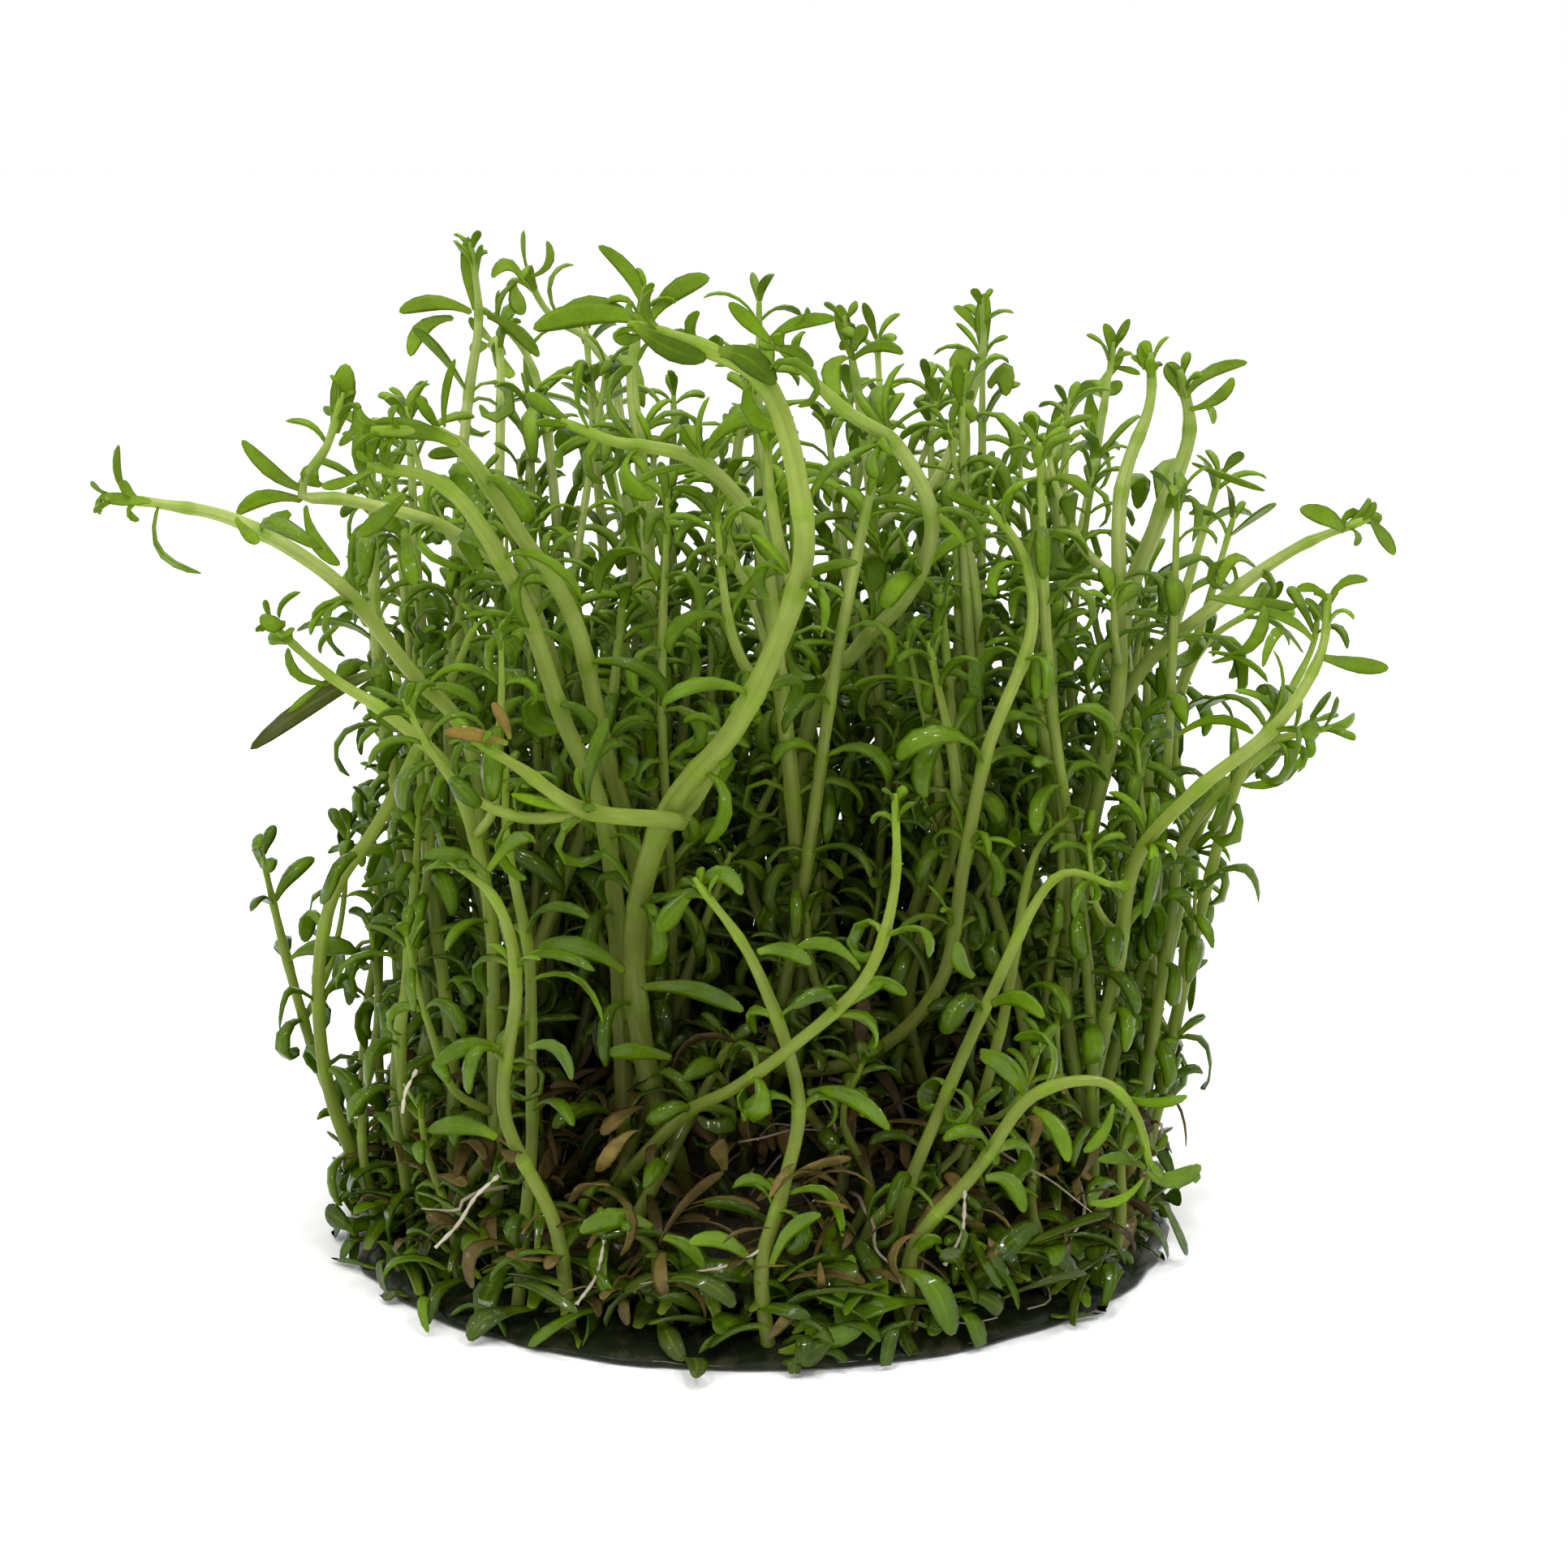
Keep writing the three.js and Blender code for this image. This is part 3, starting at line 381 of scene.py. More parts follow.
class ClumpSizes(bpy.types.PropertyGroup):
    """The sizes of the plantlets' parts."""

    leaf_length: FloatProperty(
        name="Leaf length", description="A grown leaf along its curve",
        default=9.6 * MM, unit="LENGTH")
    leaf_half_width: FloatProperty(
        name="Leaf half width", description="Half of a grown leaf's greatest width",
        default=0.66 * MM, unit="LENGTH")
    leaf_thickness: FloatProperty(
        name="Leaf thickness", description="A leaf from its groove to its keel",
        default=0.5 * MM, unit="LENGTH")
    internode: FloatProperty(
        name="Internode", description="Stem between two grown pairs of leaves",
        default=7.0 * MM, unit="LENGTH")
    bare_foot: FloatProperty(
        name="Bare foot", description="Stem without leaves above its foot",
        default=4.0 * MM, unit="LENGTH")
    seed: IntProperty(name="Seed", description="Starts the random draws", default=11)
    dead_leaves: IntProperty(
        name="Dead leaves", description="Brown leaves on the root mat", default=760)
    shed_leaves: IntProperty(
        name="Shed leaves", description="Green leaves that lie at the rim", default=560)
    roots: IntProperty(name="Roots", description="Fine roots on the mat", default=70)
    inner_stalks: IntProperty(
        name="Inner stalks", description="Thin leafy stalks between the plantlets", default=225)


class ClumpColours(bpy.types.PropertyGroup):
    """The colours of fresh and dead tissue and of the gel."""

    leaf: FloatVectorProperty(
        name="Leaf", description="A young leaf's upper side", subtype="COLOR",
        default=(0.175, 0.32, 0.006))
    old_leaf_and_shade: FloatVectorProperty(
        name="Old leaf and painted shade", description="A leaf in the shade near the foot", subtype="COLOR",
        default=(0.058, 0.108, 0.003))
    stem: FloatVectorProperty(
        name="Stem", description="The pale upper stem", subtype="COLOR",
        default=(0.29, 0.365, 0.058))
    old_stem: FloatVectorProperty(
        name="Old stem", description="The olive foot of a stem", subtype="COLOR",
        default=(0.17, 0.21, 0.03))
    gel: FloatVectorProperty(
        name="Gel", description="The dark wet pad", subtype="COLOR",
        default=(0.010, 0.013, 0.006))
    dead_leaf: FloatVectorProperty(
        name="Dead leaf", description="A brown leaf", subtype="COLOR",
        default=(0.135, 0.098, 0.023))
    root: FloatVectorProperty(
        name="Root", description="A fine pale root", subtype="COLOR",
        default=(0.52, 0.46, 0.33))


class ClumpStage(bpy.types.PropertyGroup):
    """Where the clump is seen from, and its light."""

    pitch: FloatProperty(
        name="Pitch", description="How far the camera looks down", subtype="ANGLE",
        default=math.radians(12.0))
    distance: FloatProperty(
        name="Distance", description="From the camera to the clump's middle",
        default=244.8 * MM, unit="LENGTH")
    lens: FloatProperty(name="Lens", description="Focal length in millimetres", default=73.68)
    sky: FloatProperty(name="Sky", description="Strength of the even white light", default=1.0)
    lamp: FloatProperty(name="Lamp", description="Power that the lamps share out", default=2.6)


# ---- lines: a smooth curve through given points --------------------------------------------


class Route:
    """A smooth line through points, measured along its length."""

    STEPS = 12

    def __init__(self, points):
        ends = [2 * points[0] - points[1], *points, 2 * points[-1] - points[-2]]
        self.spots = []
        for i in range(1, len(ends) - 2):
            for step in range(self.STEPS):
                self.spots.append(self._between(ends[i - 1:i + 3], step / self.STEPS))
        self.spots.append(points[-1].copy())
        self.reach = [0.0]
        for near, far in zip(self.spots, self.spots[1:]):
            self.reach.append(self.reach[-1] + (far - near).length)
        self.length = self.reach[-1]

    @staticmethod
    def _between(four, t):
        before, near, far, after = four
        bend = 2 * before - 5 * near + 4 * far - after
        twist = 3 * near - 3 * far + after - before
        return 0.5 * (2 * near + (far - before) * t + bend * t ** 2 + twist * t ** 3)

    def at(self, distance):
        """The point and the direction at a distance from the start."""
        low, high = 0, len(self.reach) - 2
        while low < high:
            middle = (low + high + 1) // 2
            if self.reach[middle] <= distance:
                low = middle
            else:
                high = middle - 1
        near, far = self.spots[low], self.spots[low + 1]
        span = max(self.reach[low + 1] - self.reach[low], 1e-9)
        part = (distance - self.reach[low]) / span
        return near.lerp(far, part), (far - near).normalized()


def mat_top(radius):
    """Height of the root mat's top at a distance from the middle."""
    return MAT_LOW[2] + MAT_EDGE + MAT_CROWN * (1 - (radius / MAT_RADIUS) ** 2)


def foot_height(x, y, radius):
    """How high a stem's foot is: on the root mat, or on the pad outside it."""
    reach = math.hypot(x, y)
    if reach < MAT_RADIUS + radius:
        return mat_top(min(reach, MAT_RADIUS))
    return PAD_TOP


def plantlet_route(radius, points):
    """A stem's route from a foot that is sunk in what it stands on, or in the stem it forks from."""
    placed = [Vector(point) * MM for point in points if len(point) == 3]
    if len(points[0]) == 3:
        start = placed[0] + (placed[0] - placed[1]).normalized() * FORK_DEPTH
    else:
        x, y = points[0][0] * MM, points[0][1] * MM
        start = Vector((x, y, foot_height(x, y, radius) - FOOT_DEPTH))
    return Route([start, *placed])


def side_of(along):
    """A direction square to a stem, the same for every stem that stands up."""
    return BACK.cross(along).normalized()


# ---- shapes: blanks that are bent into place -------------------------------------------------


def mesh_of(bm, name):
    """Turns a finished bmesh into a mesh."""
    mesh = bpy.data.meshes.new(name)
    bm.to_mesh(mesh)
    bm.free()
    return mesh


def show(mesh, *materials):
    """Puts a mesh with its materials in the scene."""
    for material in materials:
        mesh.materials.append(bpy.data.materials[material])
    obj = bpy.data.objects.new(mesh.name, mesh)
    bpy.context.scene.collection.objects.link(obj)
    return obj


def show_piece(mesh, materials, node):
    """Shows a piece in place of a node of the frame."""
    obj = show(mesh, *materials)
    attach(obj, "root")
    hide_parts(node)


LEAF_ROUND = 6
LEAF_RINGS = 9
LEAF_BELLY = 0.6      # where a leaf is widest, as a part of its length
LEAF_FOOT = 0.4       # how wide a leaf is at its foot, as a part of its belly
ON_AXIS = 1e-4        # a blank's point nearer to its middle line than this is one of its ends


def half_width(part):
    """A leaf's half width along its length: a narrow foot, a full middle and a blunt tip."""
    if part < LEAF_BELLY:
        grown = part / LEAF_BELLY
        return LEAF_FOOT + (1 - LEAF_FOOT) * grown * grown * (3 - 2 * grown)
    return max(0.0, 1 - ((part - LEAF_BELLY) / (1 - LEAF_BELLY)) ** 2) ** 0.5


def leaf_section(turn):
    """Height of a leaf's section: a keel below, a groove along the middle of the top."""
    groove = 0.35 * max(0.0, math.sin(turn)) ** 6
    return 0.45 * math.sin(turn) + 0.45 * math.cos(turn) ** 2 - 0.3 - groove


def leaf_blank():
    """A straight leaf of unit size: x across, y from foot to tip, z through its thickness."""
    bm = bmesh.new()
    bmesh.ops.create_uvsphere(bm, u_segments=LEAF_ROUND, v_segments=LEAF_RINGS, radius=1.0)
    upright = Matrix.Rotation(-math.pi / 2, 3, "X") @ Matrix.Rotation(math.pi / LEAF_ROUND, 3, "Z")
    bmesh.ops.rotate(bm, verts=bm.verts, cent=(0, 0, 0), matrix=upright)
    uv = bm.loops.layers.uv.new("UVMap")
    for vert in bm.verts:
        part = min(1.0, max(0.0, (vert.co.y + 1) / 2))
        ring = math.hypot(vert.co.x, vert.co.z)
        if ring < ON_AXIS:
            vert.co = Vector((0.0, part, 0.0))
            continue
        turn = math.atan2(vert.co.z, vert.co.x)
        wide = half_width(part)
        swell = min(1.0, 1.6 * ring)
        high = leaf_section(turn) * (0.35 + 0.65 * wide) * swell
        vert.co = Vector((math.cos(turn) * wide, part, high))
    for face in bm.faces:
        for loop in face.loops:
            spot = loop.vert.co
            loop[uv].uv = (0.5 + 0.5 * spot.x / max(0.05, half_width(spot.y)), spot.y)
        face.smooth = True
    bmesh.ops.recalc_face_normals(bm, faces=bm.faces)
    return mesh_of(bm, "leaf_blank")


def tube_blank(sides, rings):
    """A closed unit tube from z 0 to 1 with evenly spaced rings."""
    bm = bmesh.new()
    bmesh.ops.create_cone(
        bm, cap_ends=True, segments=sides, radius1=1.0, radius2=1.0, depth=1.0,
        matrix=Matrix.Translation((0, 0, 0.5)))
    upright = [e for e in bm.edges if abs(e.verts[0].co.z - e.verts[1].co.z) > 0.5]
    bmesh.ops.subdivide_edges(bm, edges=upright, cuts=rings - 1)
    uv = bm.loops.layers.uv.new("UVMap")
    for face in bm.faces:
        turns = [math.atan2(loop.vert.co.y, loop.vert.co.x) / (2 * math.pi) for loop in face.loops]
        for loop, turn in zip(face.loops, turns):
            loop[uv].uv = (turn + (1 if max(turns) - turn > 0.5 else 0), loop.vert.co.z)
        face.smooth = True
    return mesh_of(bm, "tube_blank")


def swelling(distance, node):
    """How far a stem is swollen at a distance from its foot: 1 at a node, 0 away from it."""
    return math.exp(-((distance - node) / NODE_REACH) ** 2)


class Piece:
    """A mesh that grows by adding bent copies of blanks, then becomes one object."""

    def __init__(self, name):
        self.name = name
        self.bm = bmesh.new()
        self.tint = self.bm.verts.layers.float.new("tint")
        self.blanks = {}

    def add(self, blank, place, material, tint):
        """Adds a copy of a blank; place gives each of its points its final spot."""
        seen = len(self.bm.verts)
        faces_seen = len(self.bm.faces)
        self.bm.from_mesh(blank)
        self.bm.verts.ensure_lookup_table()
        self.bm.faces.ensure_lookup_table()
        for vert in self.bm.verts[seen:]:
            vert[self.tint] = tint(vert.co) if callable(tint) else tint
            vert.co = place(vert.co)
        for face in self.bm.faces[faces_seen:]:
            face.material_index = material

    def tube(self, route, radius_at, sides, ring_gap=1.1 * MM, tint=0.0, nodes=()):
        """A tube along a route, with the radius that radius_at gives for each distance."""
        rings = max(4, round(route.length / ring_gap))
        if (sides, rings) not in self.blanks:
            self.blanks[sides, rings] = tube_blank(sides, rings)
        sections = []
        across = None
        for ring in range(rings + 1):
            distance = route.length * ring / rings
            middle, along = route.at(distance)
            if across is None:
                across = along.orthogonal().normalized()
            across = (across - along * across.dot(along)).normalized()
            sections.append((middle, across.copy(), along.cross(across), radius_at(distance)))

        def place(spot):
            middle, first, second, radius = sections[round(spot.z * rings)]
            return middle + (first * spot.x + second * spot.y) * radius

        def marked(spot):
            return max(swelling(spot.z * route.length, node) for node in nodes)

        self.add(self.blanks[sides, rings], place, 0, marked if nodes else tint)

    def leaf(self, leaf, material=1):
        """A leaf bent along its own line."""
        self.add(LEAF_BLANK, leaf.place, material, leaf.tint)

    def finish(self, materials, node):
        """Makes the object and ties it to the frame."""
        for blank in self.blanks.values():
            bpy.data.meshes.remove(blank)
        show_piece(mesh_of(self.bm, self.name), materials, node)


OUTLINE_TWIST = 0.25  # radians that a leaf of the outline turns about its line


class Leaf:
    """A leaf's middle line with the way its blade lies along it."""

    STEPS = 10

    def __init__(self, spots, side, width, thickness, twist, tint):
        self.spots, self.width, self.thickness = spots, width, thickness
        self.twist, self.tint = twist, tint
        self.ways = [(far - near).normalized() for near, far in zip(spots, spots[1:])]
        self.sides = [(side - way * side.dot(way)).normalized() for way in self.ways]
        self.floor = LEAF_FLOOR
        self.wall = math.inf

    def place(self, spot):
        """Where a point of the leaf's blank ends up: above the floor and inside the cup's wall."""
        step = min(self.STEPS - 1, int(spot.y * self.STEPS))
        rest = spot.y * self.STEPS - step
        after = min(step + 1, self.STEPS - 1)
        middle = self.spots[step].lerp(self.spots[step + 1], rest)
        way = self.ways[step].lerp(self.ways[after], rest).normalized()
        side = self.sides[step].lerp(self.sides[after], rest).normalized()
        turn = self.twist * spot.y
        across = side * math.cos(turn) + side.cross(way) * math.sin(turn)
        put = middle + across * (spot.x * self.width) + across.cross(way) * (spot.z * self.thickness)
        put.z = max(put.z, self.floor)
        over = math.hypot(put.x, put.y) / self.wall
        if over > 1:
            held = (1 + WALL_GIVE * (over - 1)) / over
            put.x *= held
            put.y *= held
        return put


def arc_leaf(foot, along, outward, length, rise, curl, *blade, sway=0.0):
    """A leaf that rises from its stem, leans out, bends back and drifts to a side."""
    away = Vector((foot.x, foot.y, 0.0))
    if foot.z < CUP_HEIGHT and away.length > WALL_NEAR and outward.dot(away) > 0:
        outward = outward - away * (WALL_TURN * outward.dot(away) / away.length_squared)
        outward = (outward - along * outward.dot(along)).normalized()
    side = along.cross(outward).normalized()
    spots = [foot.copy()]
    for step in range(Leaf.STEPS):
        part = (step + 0.5) / Leaf.STEPS
        angle = rise + curl * part ** 1.25
        out = outward * math.cos(sway * part) + side * math.sin(sway * part)
        spots.append(spots[-1] + (along * math.cos(angle) + out * math.sin(angle)) * (length / Leaf.STEPS))
    leaf = Leaf(spots, side, *blade)
    if foot.z < CUP_HEIGHT:
        leaf.wall = max(CUP_RADIUS, math.hypot(foot.x, foot.y) + CUP_SLACK)
    return leaf


def outline_leaf(foot, bend, tip, width, turn, thickness, tint):
    """A leaf through three points, its blade turned from the front by turn."""
    foot, bend, tip = (Vector(point) * MM for point in (foot, bend, tip))
    spots = []
    for step in range(Leaf.STEPS + 1):
        part = step / Leaf.STEPS
        spots.append(foot.lerp(bend, part).lerp(bend.lerp(tip, part), part))
    facing = Matrix.Rotation(turn, 3, (tip - foot).normalized()) @ -BACK
    side = (tip - foot).cross(facing).normalized()
    return Leaf(spots, side, width, thickness, OUTLINE_TWIST, tint)


LEAF_BLANK = leaf_blank()


# ---- growing: stems, pairs of leaves, tufts and side shoots -----------------------------------

FRESH = ("stem_green", "leaf_green")   # the materials of living growth
TURN_PER_PLANT = 0.7      # radians that each tall or hind plantlet is turned on from the last
SKEW = math.radians(42)   # how far the leaf pairs of the outer plantlets stand from the front plane
QUARTER = math.pi / 2
FIRST_NODE = 0.5 * MM     # distance from a stem's tip to its first pair of leaves
TIP_TAPER = 10.0 * MM     # length over which a stem thins to its tip
TIP_RADIUS = 0.36         # what is left of a stem's radius at its tip
NODE_SWELL = 0.14         # how far a node swells, as a part of the stem's radius
RIM = 26.0 * MM           # distance from the middle beyond which side shoots turn inwards
# How many leaves and side shoots a plantlet bears, for each part of the clump: the outer stems
# in front are long and bare, the ones behind are thick with leaves.
LEAFINESS = {"front": 0.15, "heart": 0.45, "left": 0.6, "right": 0.5, "crown": 0.9, "back": 1.0}


def stem_radius(radius, length, nodes):
    """Radius along a stem: a slow taper, a thin tip and a slight swelling at each node."""

    def at(distance):
        from_tip = length - distance
        tip = TIP_RADIUS + (1 - TIP_RADIUS) * max(0.0, min(1.0, from_tip / TIP_TAPER)) ** 0.6
        slender = 1.1 - 0.28 * distance / length
        swell = sum(NODE_SWELL * swelling(distance, node) for node in nodes)
        return radius * (tip * slender + swell)

    return at


def leaf_nodes(length, sizes, rng, scale=1.0):
    """Distances from the foot at which pairs of leaves stand, from the tip downwards."""
    nodes = []
    from_tip = FIRST_NODE
    pair = 0
    while from_tip < length - sizes.bare_foot:
        nodes.append(length - from_tip)
        grown = min(1.0, 0.19 + 0.3 * pair) * scale
        from_tip += sizes.internode * grown * rng.uniform(0.8, 1.25)
        pair += 1
    return nodes


def grow_leaves(piece, route, nodes, turn, radius, sizes, rng, scale=1.0, keep=0.95, first=0):
    """Opposite pairs of leaves at a stem's nodes, small and upright at its tip."""
    for pair, node in enumerate(nodes):
        spot, along = route.at(node)
        side = side_of(along)
        grown = min(1.0, 0.36 + 0.21 * pair) * scale
        height = spot.z / CAD_BOX[1][2]
        for flip in (0.0, math.pi):
            if pair < first or rng.random() > (keep if pair > 1 else 1.0):
                continue
            swing = turn + pair * QUARTER + flip + rng.uniform(-0.35, 0.35)
            outward = Matrix.Rotation(swing, 3, along) @ side
            young = max(0.0, 1.0 - pair / 3)
            rise = math.radians(rng.uniform(26, 72) * (1 - 0.62 * young))
            curl = math.radians(rng.triangular(25, 330, 160) * (1 - 0.72 * young))
            length = sizes.leaf_length * grown * rng.uniform(0.62, 1.1) * (0.72 + 0.3 * height)
            breadth = rng.triangular(0.6, 1.6, 1.15 - 0.3 * height)
            width = sizes.leaf_half_width * (0.55 + 0.45 * grown) * breadth
            # Leaves low down get the darker old leaf colour: partly older leaves, partly painted shade near
            # the foot.
            tint = min(1.0, max(0.0, 0.12 + 0.55 * height + rng.uniform(-0.3, 0.3)))
            piece.leaf(arc_leaf(
                spot + outward * radius * 0.45, along, outward, length, rise, curl, width,
                sizes.leaf_thickness * (0.6 + 0.4 * grown), rng.uniform(-0.8, 0.8), tint,
                sway=rng.uniform(-0.9, 0.9)))


def grow_tuft(piece, route, node, turn, radius, sizes, rng):
    """A few very small leaves in the angle between a leaf and the stem."""
    spot, along = route.at(node)
    side = side_of(along)
    for flip in rng.sample((0.0, math.pi), rng.choice((1, 2))):
        outward = Matrix.Rotation(turn + flip, 3, along) @ side
        for lean in (-0.5, 0.5):
            aside = Matrix.Rotation(lean, 3, along) @ outward
            length = sizes.leaf_length * rng.uniform(0.26, 0.6)
            piece.leaf(arc_leaf(
                spot + outward * radius * 0.6, along, aside, length, math.radians(rng.uniform(12, 40)),
                math.radians(rng.uniform(20, 130)), sizes.leaf_half_width * rng.uniform(0.5, 0.8),
                sizes.leaf_thickness * 0.7, rng.uniform(-0.4, 0.4), rng.uniform(0.4, 0.95)))


def grow_side_shoot(piece, route, node, turn, radius, sizes, rng, reach):
    """A short thin shoot that leaves the stem at a node and turns up; at the rim it turns inwards."""
    spot, along = route.at(node)
    outward = Matrix.Rotation(turn, 3, along) @ side_of(along)
    if math.hypot(spot.x, spot.y) > RIM and outward.dot(spot) > 0:
        outward = -outward
    points = [spot]
    lean = rng.uniform(0.75, 1.05)
    for _ in range(4):
        way = outward * math.sin(lean) + along * math.cos(lean)
        points.append(points[-1] + way * (reach / 4))
        lean *= rng.uniform(0.35, 0.8)
        along = along.lerp(UP, 0.35).normalized()
    shoot = Route(points)
    nodes = leaf_nodes(shoot.length, sizes, rng, 0.62)
    thin = radius * rng.uniform(0.55, 0.7)
    piece.tube(shoot, stem_radius(thin, shoot.length, nodes), sides=7, nodes=nodes)
    grow_leaves(piece, shoot, nodes, turn + 0.6, thin, sizes, rng, scale=0.85)


def grow_plantlet(number, name, radius, points, sizes):
    """One plantlet: its stem with all its leaves, in place of its solid."""
    rng = random.Random(sizes.seed + 31 * number)
    leafy = LEAFINESS[name.split("_")[0]]
    radius *= MM
    route = plantlet_route(radius, points)
    nodes = leaf_nodes(route.length, sizes, rng)
    piece = Piece(f"shoot_{name}")
    piece.tube(route, stem_radius(radius, route.length, nodes), sides=10, ring_gap=0.8 * MM, nodes=nodes)
    turn = number * TURN_PER_PLANT if name[:4] in ("crow", "back") else SKEW
    by_hand = OUTLINE_LEAVES.get(name, ())
    for foot, bend, tip, width, degrees, *tint in by_hand:
        piece.leaf(outline_leaf(
            foot, bend, tip, width / 2 * MM, math.radians(degrees), sizes.leaf_thickness,
            tint[0] if tint else rng.uniform(0.35, 0.8)))
    if by_hand:
        grow_leaves(piece, route, nodes[:2], turn, radius, sizes, rng, scale=0.55)
    grow_leaves(
        piece, route, nodes, turn, radius, sizes, rng, keep=0.75 + 0.2 * leafy, first=3 if by_hand else 0)
    for pair, node in enumerate(nodes[3:], start=3):
        if rng.random() < 0.65 * leafy:
            grow_tuft(piece, route, node, turn + pair * QUARTER, radius, sizes, rng)
    lower = [pair for pair in range(3, len(nodes)) if nodes[pair] < 0.75 * route.length]
    for pair in rng.sample(lower, min(len(lower), round(4 * leafy * rng.random()))):
        way = turn + pair * QUARTER + rng.choice((0.0, math.pi))
        grow_side_shoot(piece, route, nodes[pair], way, radius, sizes, rng, rng.uniform(7, 19) * MM)
    piece.finish(FRESH, f"plantlet_{name}")


# ---- materials -----------------------------------------------------------------------------

BROWNED_LEAF = (0.062, 0.064, 0.014, 1.0)
ORANGE_LEAF = (0.26, 0.15, 0.025, 1.0)
# Paler leaf green for the clump's top and back: partly young growth, partly painted light.
YOUNG_AND_LIT_LEAF = (0.34, 0.47, 0.05, 1.0)
PALE_FOOT = (0.22, 0.31, 0.018, 1.0)
MIDRIB = (0.19, 0.29, 0.013, 1.0)
LEAF_GLOW = (0.26, 0.44, 0.008, 1.0)    # light that comes through a leaf
# Paler stem for the clump's top and back: partly young growth, partly painted light.
YOUNG_AND_LIT_STEM = (0.60, 0.66, 0.27, 1.0)
STEM_GLOW = (0.56, 0.68, 0.20, 1.0)
GEL_SMEAR = (0.055, 0.05, 0.022, 1.0)
PAINTED_SHADE = (0.30, 0.205, 0.2, 1.0)   # painted shade: what is left of a colour deep in the clump
PAINTED_SHADE_SHARE = 0.8                          # and how much of that painted shade shows


class Paint:
    """A material or a node group, with short calls that place and join its nodes."""

    def __init__(self, tree):
        self.tree = tree
        self.tree.nodes.clear()

    def feed(self, node, socket, value):
        """Joins a socket to another, or sets its own value."""
        if isinstance(value, bpy.types.NodeSocket):
            self.tree.links.new(value, node.inputs[socket])
        else:
            node.inputs[socket].default_value = value

    def node(self, kind, inputs=(), **settings):
        made = self.tree.nodes.new(kind)
        for key, value in settings.items():
            setattr(made, key, value)
        for socket, value in dict(inputs).items():
            self.feed(made, socket, value)
        return made

    def group(self, name, **inputs):
        """Places a node group with its own values."""
        return self.node("ShaderNodeGroup", inputs, node_tree=bpy.data.node_groups[name]).outputs

    def mix(self, factor, first, second, blend="MIX"):
        """Mixes two colours."""
        return self.node("ShaderNodeMix", {0: factor, 6: first, 7: second}, data_type="RGBA",
                         blend_type=blend).outputs[2]

    def map(self, value, low, high, to_low=0.0, to_high=1.0):
        """Maps a value from one range to another, held at its ends."""
        return self.node("ShaderNodeMapRange", {
            "Value": value, "From Min": low, "From Max": high, "To Min": to_low, "To Max": to_high,
        }).outputs["Result"]

    def math(self, operation, first, second=0.0):
        return self.node("ShaderNodeMath", {0: first, 1: second}, operation=operation).outputs[0]

    def place(self):
        """The point on the piece."""
        return self.node("ShaderNodeTexCoord").outputs["Object"]

    def uv(self):
        return self.node("ShaderNodeUVMap").outputs["UV"]

    def apart(self, vector):
        """The three numbers of a vector."""
        return self.node("ShaderNodeSeparateXYZ", {"Vector": vector}).outputs

    def tint(self):
        """The number that each point of a piece carries."""
        return self.node("ShaderNodeAttribute", attribute_name="tint").outputs["Fac"]

    def noise(self, vector, scale, detail=2.0, roughness=0.5, distortion=0.0):
        return self.node("ShaderNodeTexNoise", {
            "Vector": vector, "Scale": scale, "Detail": detail, "Roughness": roughness,
            "Distortion": distortion}).outputs["Fac"]

    def bump(self, height, distance, strength):
        return self.node("ShaderNodeBump", {
            "Height": height, "Distance": distance, "Strength": strength}).outputs["Normal"]

    def output(self, shader, kind="ShaderNodeOutputMaterial"):
        self.node(kind, {"Surface": shader.outputs[0]})


def new_group(name, inputs, outputs):
    """A shader node group with named sockets; returns its paint, its inputs and its end."""
    tree = bpy.data.node_groups.new(name, "ShaderNodeTree")
    for label, default in inputs.items():
        kind = "NodeSocketFloat" if isinstance(default, float) else "NodeSocketColor"
        tree.interface.new_socket(name=label, in_out="INPUT", socket_type=kind).default_value = default
    for label, kind in outputs.items():
        tree.interface.new_socket(name=label, in_out="OUTPUT", socket_type=kind)
    paint = Paint(tree)
    return paint, tree.nodes.new("NodeGroupInput").outputs, tree.nodes.new("NodeGroupOutput")


def rgba(colour, factor=1.0):
    return (colour[0] * factor, colour[1] * factor, colour[2] * factor, 1.0)


def tissue_group():
    """Living tissue: cells as fine mottling, larger paler and darker patches and a soft relief."""
    paint, given, end = new_group(
        "Plant tissue", {"Colour": (0.1, 0.3, 0.02, 1.0), "Patch": 260.0, "Cell": 2600.0, "Amount": 0.5},
        {"Colour": "NodeSocketColor", "Height": "NodeSocketFloat"})
    place = paint.place()
    patch = paint.noise(place, given["Patch"], 3.0, 0.6)
    cell = paint.node("ShaderNodeTexVoronoi", {
        "Vector": place, "Scale": given["Cell"]}, feature="F1").outputs["Distance"]
    light = paint.map(patch, 0.3, 0.7, 0.6, 1.45)
    shade = paint.map(cell, 0.0, 0.8, 1.12, 0.86)
    both = paint.math("MULTIPLY", light, shade)
    grey = paint.node("ShaderNodeCombineColor", {"Red": both, "Green": both, "Blue": light}).outputs[0]
    toned = paint.mix(1.0, given["Colour"], grey, "MULTIPLY")
    paint.feed(end, "Colour", paint.mix(given["Amount"], given["Colour"], toned))
    paint.feed(end, "Height", paint.math(
        "ADD", paint.math("MULTIPLY", patch, 0.6), paint.math("MULTIPLY", cell, -0.4)))


